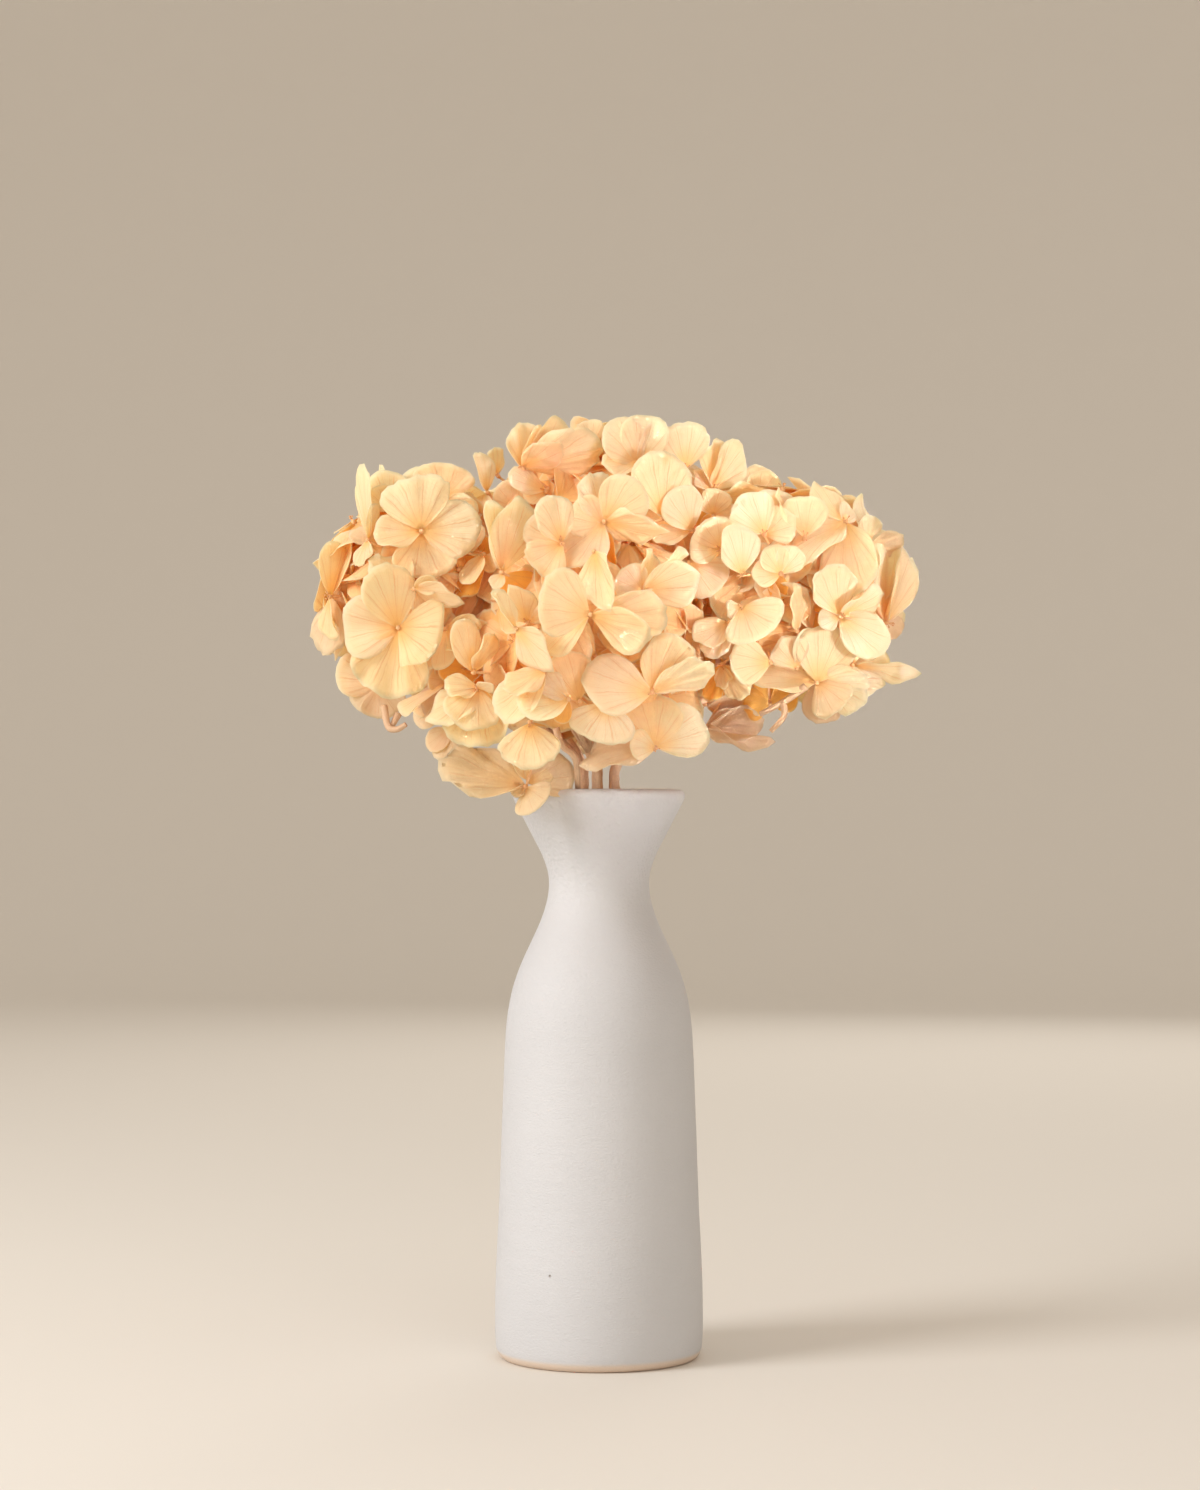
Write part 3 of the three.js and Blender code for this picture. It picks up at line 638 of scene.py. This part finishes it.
def seen_floret(head, row, order):
    """A listed floret, moved from the front view to its place on the dome. Its depth depends on its place in
    the view and the other way round, so both are worked out a few times."""
    (right, down, lift), *listed = row
    centre = dome_middle(head)
    y = centre[1]
    for _ in range(3):
        middle = from_view(right, down, y)
        off = math.hypot(middle[0] - centre[0], middle[2] - centre[2])
        y = centre[1] - math.sqrt(max(head["radius"] ** 2 - off**2, 0)) - lift
    middle = from_view(right, down, y)
    petals = []
    for k, (tip_right, tip_down, breadth, forward, *words) in enumerate(listed):
        reach = from_view(tip_right, tip_down, y - forward) - middle
        petals.append(seen_petal(reach, breadth, words, order, k))
    face = unit(unit(middle - centre) + np.array([0, -FACING, 0]))
    return {
        "middle": middle, "face": face, "petals": petals, "order": order, "warmth_and_glow": 0.0,
        "settle": SEEN_SETTLE, "centre": centre, "radius": head["radius"],
    }


def ruled_floret(head, depth, out, order, lengths, warmth_and_glow, spread):
    """A floret of the rule, in a direction from the dome's middle and at a depth under the dome."""
    centre, radius = dome_middle(head), head["radius"] - depth
    drift = np.array([chance(order, 1), chance(order, 2), chance(order, 3)]) - 0.5
    face = unit(out + drift * RULED_DRIFT)
    right = unit(np.cross((0.1, 0.2, 1), face))
    up = np.cross(face, right)
    roll = chance(order, 4) * math.pi
    middle = centre + out * (radius - EYE_DEPTH + spread * chance(order, 20))
    petals = []
    for k in range(4):
        angle = roll + k * math.pi / 2 + (chance(order, 5 + k) - 0.5) * ANGLE_DRIFT
        rise = math.radians(mix(*RISE, chance(order, 10 + k)) + ODD_RISE * (k % 2))
        flat = math.cos(angle) * right + math.sin(angle) * up
        way = flat * math.cos(rise) + face * math.sin(rise)
        across = turned(unit(np.cross(face, way)), way, mix(-RULED_TURN, RULED_TURN, chance(order, 30 + k)))
        length = mix(*lengths, chance(order, 15 + k))
        reach = middle + way * length - centre
        reach *= min(1, (radius + head["proud"]) / np.linalg.norm(reach))
        way = unit(reach + centre - middle)
        across = unit(across - way * way.dot(across))
        width = length * mix(*RULED_BREADTH, chance(order, 35 + k))
        petals.append({"way": way, "across": across, "length": length, "width": width, "words": []})
    return {
        "middle": middle, "face": face, "petals": petals, "order": order, "warmth_and_glow": warmth_and_glow,
        "settle": RULED_SETTLE, "centre": centre, "radius": head["radius"],
    }


def free_places(name, share, margin, limits):
    """The places on a head's dome, or on a smaller dome inside it, that are clear of the other heads and of
    the places already taken. Each limit is a list of those places and the least distance to them."""
    centre, radius = dome_middle(HEADS[name]), HEADS[name]["radius"]
    others = [head for other, head in HEADS.items() if other != name]
    for i, out in enumerate(spread_directions(CANDIDATES)):
        place = centre + out * radius * share
        if out[2] < LOWEST:
            continue
        if any(np.linalg.norm(place - head["centre"]) < head["radius"] * share + margin for head in others):
            continue
        if any(np.linalg.norm(place - other) < least for taken, least in limits for other in taken):
            continue
        yield i, out, place


def all_florets():
    """Every head's florets: the listed ones, those that the rule adds on its dome, and those inside it. A
    floret's order is the number that its draws start from."""
    florets, seen, ruled = {}, [], []
    for n, (name, head) in enumerate(HEADS.items()):
        florets[name] = [seen_floret(head, row, 100 * n + i) for i, row in enumerate(head["seen"])]
        seen += [floret["middle"] for floret in florets[name]]

    limits = [(seen, SEEN_SPACING), (ruled, SPACING)]
    for n, (name, head) in enumerate(HEADS.items()):
        for i, out, place in free_places(name, 1, DOME_MARGIN, limits):
            order = 1000 + 100 * n + i
            florets[name].append(ruled_floret(head, 0, out, order, RULED_LENGTH, 0, DOME_SPREAD))
            ruled.append(place)

    # The filling lies in the dome's shaded hollow, so its florets are painted more orange, as painted glow.
    for layer, (share, spacing, clear, lengths, warmth_and_glow) in enumerate(FILLING, 1):
        filled = []
        limits = [(seen, clear), (ruled, clear), (filled, spacing)]
        for n, (name, head) in enumerate(HEADS.items()):
            depth = head["radius"] * (1 - share) + FILLING_DEPTH
            for i, out, place in free_places(name, share, 0, limits):
                order = 5000 * layer + 300 * n + i
                florets[name].append(ruled_floret(head, depth, out, order, lengths, warmth_and_glow, FILLING_SPREAD))
                filled.append(place)
    return florets


def petal_tint(floret, petal, k, points):
    """How warm, how dry and what tone a petal's points are. The points far under the dome are painted more
    orange, as painted glow of light in its shaded hollow, and two words paint light on a petal.
    """
    order = floret["order"]
    warmth_and_glow = floret["warmth_and_glow"] + 0.25 * chance(order, 51 + k)
    dryness_and_shadow = 0.6 * max(chance(order, 55 + k) - 0.7, 0)
    # Some words paint light: an orange glow for petals in a hollow, a grey shade for petals in shadow.
    for word in petal["words"]:
        warmer_and_glowing, drier_and_shadowed = TINTS.get(word, (0, 0))
        warmth_and_glow, dryness_and_shadow = warmth_and_glow + warmer_and_glowing, dryness_and_shadow + drier_and_shadowed
    under = floret["radius"] + 2 - np.linalg.norm(points - floret["centre"], axis=1)
    tint = np.empty((len(points), 3))
    # Painted glow: the farther a point lies under the dome, the more orange it is painted, for the glow of
    # light in the shaded hollow.
    tint[:, 0] = max(warmth_and_glow, 0) + PAINTED_GLOW * np.clip(under / PAINTED_GLOW_DEPTH, 0, 1)
    tint[:, 1] = dryness_and_shadow
    tint[:, 2] = 0.4 * chance(order, 50) + 0.6 * chance(order, 59 + k)
    return tint


def add_floret(sheaf, floret):
    """A floret's petals and its eye, in a head's mesh."""
    for k, petal in enumerate(floret["petals"]):
        form = PetalForm(floret["order"], k, floret["settle"], petal["words"])
        rows, columns = TOOTHED_GRID if form.scallop > TOOTHED_FROM else PLAIN_GRID
        if floret["warmth_and_glow"] > 0:
            rows, columns = FILLING_GRID
        claw = floret["middle"] + floret["face"] * LAYER * (1 - k)
        points, places = petal_blade(claw, petal, form, rows, columns)
        tint = petal_tint(floret, petal, k, points)
        sheaf.add(points, blade_quads(rows, columns), places, tint, 0, 2 * (rows + columns))
    add_eye(sheaf, floret["middle"], floret["face"], floret["order"])


def add_eye(sheaf, middle, face, order):
    """The small closed flower at a floret's middle, and in nearly half of them a few stamens."""
    height = mix(1.0, 1.9, chance(order, 90))
    path = [middle - face * 0.8, middle + face * 0.2, middle + face * height * 0.7, middle + face * height]
    sheaf.add_bar(path, [0.7, 1.0, 0.9, 0.4], (0.9, 0.5, 0.3), 1)
    if chance(order, 91) >= 0.45:
        return
    side = unit(np.cross(face, (0.2, 0.9, 0.4)))
    for k in range(4):
        angle = 2.4 * k + 6 * chance(order, 92 + k)
        lean = math.cos(angle) * side + math.sin(angle) * np.cross(face, side)
        tip = middle + face * (height + 1.2) + lean * mix(0.8, 2.0, chance(order, 96 + k))
        path = [middle + face * height * 0.6, mix(middle + face * height, tip, 0.6), tip, tip + face * 0.35]
        sheaf.add_bar(path, [0.16, 0.13, 0.3, 0.28], (0.9, 0.75, 0.2), 1)


# ---- Stems ----


def ray_ends(head):
    """Where a head's rays end inside its dome."""
    return [dome_middle(head) + out * head["radius"] * RAY_REACH for out in spread_directions(RAYS)]


def add_stalks(sheaf, head, florets):
    """Thin stalks from the ends of the rays to the florets' middles."""
    ends = ray_ends(head)
    for floret in florets:
        end = min(ends, key=lambda e: np.linalg.norm(e - floret["middle"]))
        behind = floret["middle"] - floret["face"] * 0.8
        sag = -floret["face"] * STALK_SAG * np.linalg.norm(behind - end)
        path = curve_between(end, behind, sag)
        radii = np.linspace(*STALK_TAPER, len(path)) * STALK_RADIUS
        sheaf.add_bar(path, radii, (0.6, 0.3, chance(floret["order"], 99)), 1)


def stem_route(head):
    """The points that a stem passes, from the vase's floor through its neck and the fork into the dome."""
    def around(height, ring):
        turn = math.radians(head["turn"])
        return [ring * math.cos(turn), ring * math.sin(turn), height]

    fork = np.array(head["fork"], float)
    return [
        around(VASE_FLOOR + 0.4, STEM_SPREAD),
        around(100, mix(STEM_RING, STEM_SPREAD, 0.45)),
        around(NECK_HEIGHT, STEM_RING),
        around(NECK_HEIGHT + 30, STEM_RING + 0.5),
        around(NECK_HEIGHT + 52, STEM_RING + 3),
        fork,
        mix(fork, dome_middle(head), 0.6),
    ]


def stem_piece(name, head, material):
    """A woody stem from the vase's floor up through its neck, its twigs, and the rays that hold the head."""
    sheaf = Sheaf()
    path = spline(stem_route(head), 14)
    knots = 1 + KNOT_SIZE * np.sin(np.arange(len(path)) * KNOT_PACE + head["turn"]) ** 8
    radii = np.linspace(*STEM_TAPER, len(path)) * STEM_RADIUS * knots
    sheaf.add_bar(path, radii, (0.3, 0.1, 0.5), 0, STEM_SIDES)
    for twig in head["twigs"]:
        path = spline([from_view(*place) for place in twig], 6)
        sheaf.add_bar(path, np.linspace(*TWIG_TAPER, len(path)) * TWIG_RADIUS, (0.3, 0.8, 0.5), 0)
    for k, end in enumerate(ray_ends(head)):
        drift = np.array([chance(k, 1), chance(k, 2), chance(k, 3)]) - 0.5
        path = curve_between(np.array(head["fork"], float), end, drift * 6)
        sheaf.add_bar(path, np.linspace(*RAY_TAPER, len(path)) * RAY_RADIUS, (0.3, 0.2, chance(k, 4)), 0)
    return sheaf.build(name, [material])


# ---- Vase ----


def vase_piece(material):
    """The turned ceramic body: outside from the foot to the lip, then down the hollow to its floor."""
    wall = spline(WALL, 5)
    hollow = np.array([[r - VASE_WALL, z] for r, z in wall if z > VASE_FLOOR + CORNER_HEIGHT])[::-1]
    corner = [[hollow[-1][0] - inwards, VASE_FLOOR + up] for inwards, up in CORNER]
    profile = np.vstack([FOOT, wall, LIP, hollow, corner])
    points = np.vstack([turned_rings(profile, VASE_SIDES), [[0, 0, 0], [0, 0, VASE_FLOOR]]])
    faces = ring_quads(len(profile), VASE_SIDES).tolist()
    under, inside = len(points) - 2, len(points) - 1
    last = (len(profile) - 1) * VASE_SIDES
    for i in range(VASE_SIDES):
        j = (i + 1) % VASE_SIDES
        faces.append((under, j, i))
        faces.append((inside, last + i, last + j))
    return smooth_piece("vase_body", points * MM, faces, material)


# ---- Materials ----

PETAL_COLOURS = {
    "cream": (1.0, 0.965, 0.70, 1),
    "rosy": (1.0, 0.91, 0.74, 1),
    "patch": (1.0, 0.86, 0.58, 1),
    # The warm colour is a petal's own orange tone and also the painted glow of shaded hollows.
    "warm": (1.0, 0.63, 0.14, 1),
    # Partly painted shade: the colour near the claw is the petal's own tone together with the shade of the
    # floret's hollow.
    "heart_and_shade": (1.0, 0.70, 0.24, 1),
    # Painted highlight: the rim colour is a paler band of light along the petal's edge.
    "rim": (1.0, 0.98, 0.76, 1),
    "vein": (0.84, 0.50, 0.20, 1),
    "dry": (0.84, 0.66, 0.48, 1),
    "glow": (1.0, 0.84, 0.40, 1),
}
STALK_COLOURS = {"light": (0.99, 0.70, 0.38, 1), "dark": (0.70, 0.36, 0.15, 1)}
BARK_COLOURS = {"light": (0.98, 0.74, 0.48, 1), "dark": (0.55, 0.34, 0.20, 1)}
# Painted shade: the pale and grey glaze colours are darker than the off-white glaze, for the dimmer light on
# the vase than on the flowers. The bare foot and the specks are the vase's own colours.
GLAZE_COLOURS = {
    "pale": (0.59, 0.59, 0.60, 1),
    "grey": (0.56, 0.56, 0.57, 1),
    "bare": (0.72, 0.56, 0.42, 1),
    "speck": (0.42, 0.33, 0.26, 1),
}
STAGE_COLOUR = (0.74, 0.70, 0.64, 1)

# Veins of a petal in three ranks: how many, where along it they fade in, and how strong they are
VEINS = [
    [5.0, 0.0, 0.05, 1.0],
    [11.0, 0.1, 0.3, 0.7],
    [23.0, 0.4, 0.65, 0.45],
]


class Nodes:
    """Shorthand for building a material's nodes. An input is named by its label or by its place in the list,
    and takes a value or another node's output."""

    def __init__(self, name):
        self.material = bpy.data.materials.new(name)
        self.material.use_nodes = True
        self.tree = self.material.node_tree
        self.tree.nodes.clear()

    def add(self, kind, settings=None, **inputs):
        node = self.tree.nodes.new(kind)
        for key, value in (settings or {}).items():
            setattr(node, key, value)
        for key, value in inputs.items():
            self.set(node, key.replace("_", " "), value)
        return node

    def set(self, node, key, value):
        socket = node.inputs[int(key)] if key.isdigit() else node.inputs[key]
        if isinstance(value, bpy.types.NodeSocket):
            self.tree.links.new(value, socket)
        else:
            socket.default_value = value

    def math(self, operation, a, b=0.0):
        node = self.add("ShaderNodeMath", {"operation": operation})
        self.set(node, "0", a)
        self.set(node, "1", b)
        return node.outputs[0]

    def blend(self, share, a, b):
        node = self.add("ShaderNodeMix", {"data_type": "RGBA"})
        self.set(node, "0", share)
        self.set(node, "6", a)
        self.set(node, "7", b)
        return node.outputs[2]

    def noise(self, place, scale, detail=2.0, roughness=0.5):
        node = self.add("ShaderNodeTexNoise", Vector=place, Scale=scale, Detail=detail, Roughness=roughness)
        return node.outputs["Fac"]

    def ramp(self, value, low, high):
        """0 up to the low value and 1 from the high one, or the other way round if low is the greater."""
        node = self.add("ShaderNodeMapRange", {"interpolation_type": "SMOOTHSTEP"})
        self.set(node, "0", value)
        self.set(node, "1", low)
        self.set(node, "2", high)
        return node.outputs[0]

    def bump(self, height, strength, distance, normal=None):
        node = self.add("ShaderNodeBump", Strength=strength, Distance=distance, Height=height)
        if normal is not None:
            self.set(node, "Normal", normal)
        return node.outputs["Normal"]

    def place(self):
        return self.add("ShaderNodeTexCoord").outputs["Object"]

    def scaled(self, place, scale):
        mapping = self.add("ShaderNodeMapping")
        self.set(mapping, "0", place)
        mapping.inputs["Scale"].default_value = scale
        return mapping.outputs[0]

    def parts(self, vector):
        node = self.add("ShaderNodeSeparateXYZ")
        self.set(node, "0", vector)
        return node.outputs

    def tint(self):
        """How warm, how dry and what tone the mesh is, with painted glow carried in the first and painted
        shadow in the second.
        """
        attribute = self.add("ShaderNodeVertexColor", {"layer_name": "tint"})
        node = self.add("ShaderNodeSeparateColor")
        self.set(node, "0", attribute.outputs["Color"])
        return node.outputs

    def finish(self, shader):
        output = self.add("ShaderNodeOutputMaterial")
        self.tree.links.new(shader, output.inputs["Surface"])
        return self.material


def petal_veins(n, place, across, along):
    """Lines of even angle that wander a little and branch towards the rim."""
    wander = n.math("MULTIPLY", n.math("SUBTRACT", n.noise(place, 160.0), 0.5), 0.05)
    vein = None
    for count, low, high, strength in VEINS:
        at = n.math("ADD", n.math("MULTIPLY", n.math("ADD", across, wander), count), 0.5)
        near = n.math("ABSOLUTE", n.math("SUBTRACT", n.math("FRACT", at), 0.5))
        line = n.math("MULTIPLY", n.ramp(near, 0.055, 0.012), n.ramp(along, low, high))
        line = n.math("MULTIPLY", line, strength)
        vein = line if vein is None else n.math("MAXIMUM", vein, line)
    return n.math("MULTIPLY", vein, n.ramp(along, 1.0, 0.75))


def petal_colour(n, place, along, vein):
    """Cream with more orange patches, a warm claw end that is the petal's own tone and also painted shade of
    the floret's hollow, a painted highlight along the rim, veins, and browner where the petal is dry. The
    tint adds painted glow and painted shadow.
    """
    colours = PETAL_COLOURS
    warmth_and_glow, dryness_and_shadow, shade = n.tint()[:3]
    colour = n.blend(shade, colours["cream"], colours["rosy"])
    patches = n.ramp(n.noise(place, 70.0, 3.0), 0.4, 0.75)
    colour = n.blend(n.math("MULTIPLY", patches, 0.4), colour, colours["patch"])
    # Orange by the first channel: a petal's own tone at random, and painted glow in shaded hollows.
    colour = n.blend(warmth_and_glow, colour, colours["warm"])
    # Partly painted shade: more orange towards the claw, the petal's own tone together with the shade of the
    # floret's hollow.
    colour = n.blend(n.math("MULTIPLY", n.ramp(along, 0.6, 0.0), 0.8), colour, colours["heart_and_shade"])
    # Painted highlight: a paler band along the rim.
    colour = n.blend(n.math("MULTIPLY", n.ramp(along, 0.93, 1.0), 0.6), colour, colours["rim"])
    colour = n.blend(n.math("MULTIPLY", vein, 0.5), colour, colours["vein"])
    # Browner where the petal is dry, and greyer where painted shadow stands for the shade a petal lies in.
    return n.blend(dryness_and_shadow, colour, colours["dry"])


def petal_material():
    """A thin, waxy, slightly translucent petal with veins that fan out from its claw."""
    n = Nodes("petal")
    place = n.place()
    pattern = n.add("ShaderNodeUVMap", {"uv_map": "pattern"}).outputs[0]
    across, along = n.parts(pattern)[:2]
    vein = petal_veins(n, place, across, along)
    colour = petal_colour(n, place, along, vein)

    relief = n.math("ADD", n.math("MULTIPLY", vein, -0.5), n.math("MULTIPLY", n.noise(place, 900.0), 0.35))
    normal = n.bump(n.noise(place, 260.0, 3.0, 0.55), 0.6, 0.0009)
    normal = n.bump(relief, 0.6, 0.0003, normal)

    surface = n.add("ShaderNodeBsdfPrincipled", Base_Color=colour, Normal=normal, Roughness=0.7)
    surface.inputs["Specular IOR Level"].default_value = 0.25
    surface.inputs["Sheen Weight"].default_value = 0.15
    surface.inputs["Sheen Roughness"].default_value = 0.5
    glow = n.blend(0.3, colour, PETAL_COLOURS["glow"])
    through = n.add("ShaderNodeBsdfTranslucent", Color=glow, Normal=normal)
    both = n.add("ShaderNodeMixShader", Fac=0.5)
    n.set(both, "1", surface.outputs[0])
    n.set(both, "2", through.outputs[0])
    return n.finish(both.outputs[0])


def wood_material(name, colours):
    """Dry woody stalk with fine streaks along it."""
    n = Nodes(name)
    streaks = n.noise(n.scaled(n.place(), (1, 1, 0.2)), 900.0, 3.0, 0.6)
    colour = n.blend(n.math("MULTIPLY", n.ramp(streaks, 0.3, 0.75), 0.5), colours["light"], colours["dark"])
    colour = n.blend(n.tint()[1], colour, colours["dark"])
    normal = n.bump(streaks, 0.5, 0.0004)
    surface = n.add("ShaderNodeBsdfPrincipled", Base_Color=colour, Normal=normal, Roughness=0.7)
    return n.finish(surface.outputs[0])


def glaze_material():
    """Matte off-white glaze, finely grained, with a few specks, a leathery neck and a bare warm foot."""
    n = Nodes("glaze")
    place = n.place()
    height = n.parts(place)[2]
    broad = n.noise(place, 14.0, 3.0)
    # Painted shade: both glaze colours are darkened to stand for the dimmer light that falls on the vase.
    colour = n.blend(n.ramp(broad, 0.3, 0.7), GLAZE_COLOURS["pale"], GLAZE_COLOURS["grey"])
    foot = n.math("MULTIPLY", n.ramp(height, 0.0042, 0.0022), 0.75)
    colour = n.blend(foot, colour, GLAZE_COLOURS["bare"])

    cells = n.add("ShaderNodeTexVoronoi", {"feature": "F1"}, Vector=place, Scale=110.0, Randomness=1.0)
    rare = n.ramp(cells.outputs["Color"], 0.86, 0.9)
    speck = n.math("MULTIPLY", rare, n.ramp(cells.outputs["Distance"], 0.075, 0.03))
    colour = n.blend(n.math("MULTIPLY", speck, 0.6), colour, GLAZE_COLOURS["speck"])

    pores = n.noise(n.scaled(place, (1, 1, 1.8)), 750.0, 2.0, 0.6)
    leather = n.add("ShaderNodeTexVoronoi", {"feature": "SMOOTH_F1"}, Vector=place, Scale=620.0)
    neck = n.math("MULTIPLY", n.ramp(height, 0.165, 0.2), n.ramp(n.noise(place, 30.0), 0.35, 0.6))
    grain = n.math("MULTIPLY", leather.outputs["Distance"], neck)
    relief = n.math("ADD", n.math("MULTIPLY", pores, 0.35), grain)
    relief = n.math("SUBTRACT", relief, n.math("MULTIPLY", speck, 2.0))
    rings = n.noise(n.scaled(place, (0.15, 0.15, 1)), 240.0)
    normal = n.bump(rings, 0.25, 0.0006)
    normal = n.bump(relief, 0.7, 0.0007, normal)

    surface = n.add("ShaderNodeBsdfPrincipled", Base_Color=colour, Normal=normal)
    n.set(surface, "Roughness", n.math("ADD", n.math("MULTIPLY", broad, 0.12), 0.52))
    surface.inputs["Specular IOR Level"].default_value = 0.35
    return n.finish(surface.outputs[0])


def stage_material():
    """Plain pale floor and sweep."""
    n = Nodes("stage")
    surface = n.add("ShaderNodeBsdfPrincipled", Base_Color=STAGE_COLOUR, Roughness=0.9)
    surface.inputs["Specular IOR Level"].default_value = 0.1
    return n.finish(surface.outputs[0])


# ---- Stage, light and camera ----


def make_stage():
    """A round floor that sweeps up into a wall on every side."""
    profile = [(FLOOR_START, 0.0), (FLOOR_RADIUS, 0.0)]
    for k in range(1, SWEEP_STEPS + 1):
        angle = k / SWEEP_STEPS * math.pi / 2
        profile.append((FLOOR_RADIUS + SWEEP * math.sin(angle), SWEEP * (1 - math.cos(angle))))
    profile.append((FLOOR_RADIUS + SWEEP, WALL_HEIGHT))
    points = np.vstack([turned_rings(profile, STAGE_SIDES), [[0, 0, 0]]])
    faces = ring_quads(len(profile), STAGE_SIDES)[:, ::-1].tolist()
    faces += [(len(points) - 1, i, (i + 1) % STAGE_SIDES) for i in range(STAGE_SIDES)]
    smooth_piece("floor", points, faces, stage_material())


def add_light(name, place, target, size, power, colour, beam):
    data = bpy.data.lights.new(name, "AREA")
    data.shape = "DISK"
    data.size = size
    data.energy = power
    data.color = colour
    data.spread = math.radians(beam)
    light = link(name, data)
    light.location = place
    light.rotation_euler = (Vector(target) - Vector(place)).to_track_quat("-Z", "Y").to_euler()
    light.visible_camera = False


def make_light():
    for name, row in LIGHTS.items():
        add_light(name, *row)
    world = bpy.data.worlds.new("studio")
    world.use_nodes = True
    background = world.node_tree.nodes["Background"]
    background.inputs["Color"].default_value = SKY_COLOUR
    background.inputs["Strength"].default_value = SKY_STRENGTH
    bpy.context.scene.world = world


def make_camera():
    data = bpy.data.cameras.new("camera")
    data.lens = VIEW_LENS
    data.sensor_width = SENSOR
    camera = link("camera", data)
    aside = (VIEW_MIDDLE - VIEW_AXIS) * VIEW_STEP
    camera.location = (aside * MM, -VIEW_DISTANCE * MM, EYE_HEIGHT * MM)
    camera.rotation_euler = (math.radians(90 + VIEW_TILT), 0, 0)
    bpy.context.scene.camera = camera


def set_look():
    scene = bpy.context.scene
    scene.view_settings.view_transform = "Standard"
    scene.cycles.use_denoising = True
    scene.cycles.max_bounces = BOUNCES
    scene.cycles.diffuse_bounces = SOFT_BOUNCES
    scene.cycles.transmission_bounces = SOFT_BOUNCES


# ---- The whole object ----


def take_place(piece, node):
    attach(piece, "root")
    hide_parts(node)


def make_bunch():
    """One piece for each head and one for each stem."""
    petal = petal_material()
    stalk = wood_material("stalk", STALK_COLOURS)
    bark = wood_material("bark", BARK_COLOURS)
    florets = all_florets()
    for name, head in HEADS.items():
        sheaf = Sheaf()
        for floret in florets[name]:
            add_floret(sheaf, floret)
        add_stalks(sheaf, head, florets[name])
        take_place(sheaf.build(f"florets_{name}", [petal, stalk]), f"head_{name}")
        take_place(stem_piece(f"wood_{name}", head, bark), f"stem_{name}")


make_camera()
make_stage()
make_light()
set_look()
take_place(vase_piece(glaze_material()), "vase")
make_bunch()
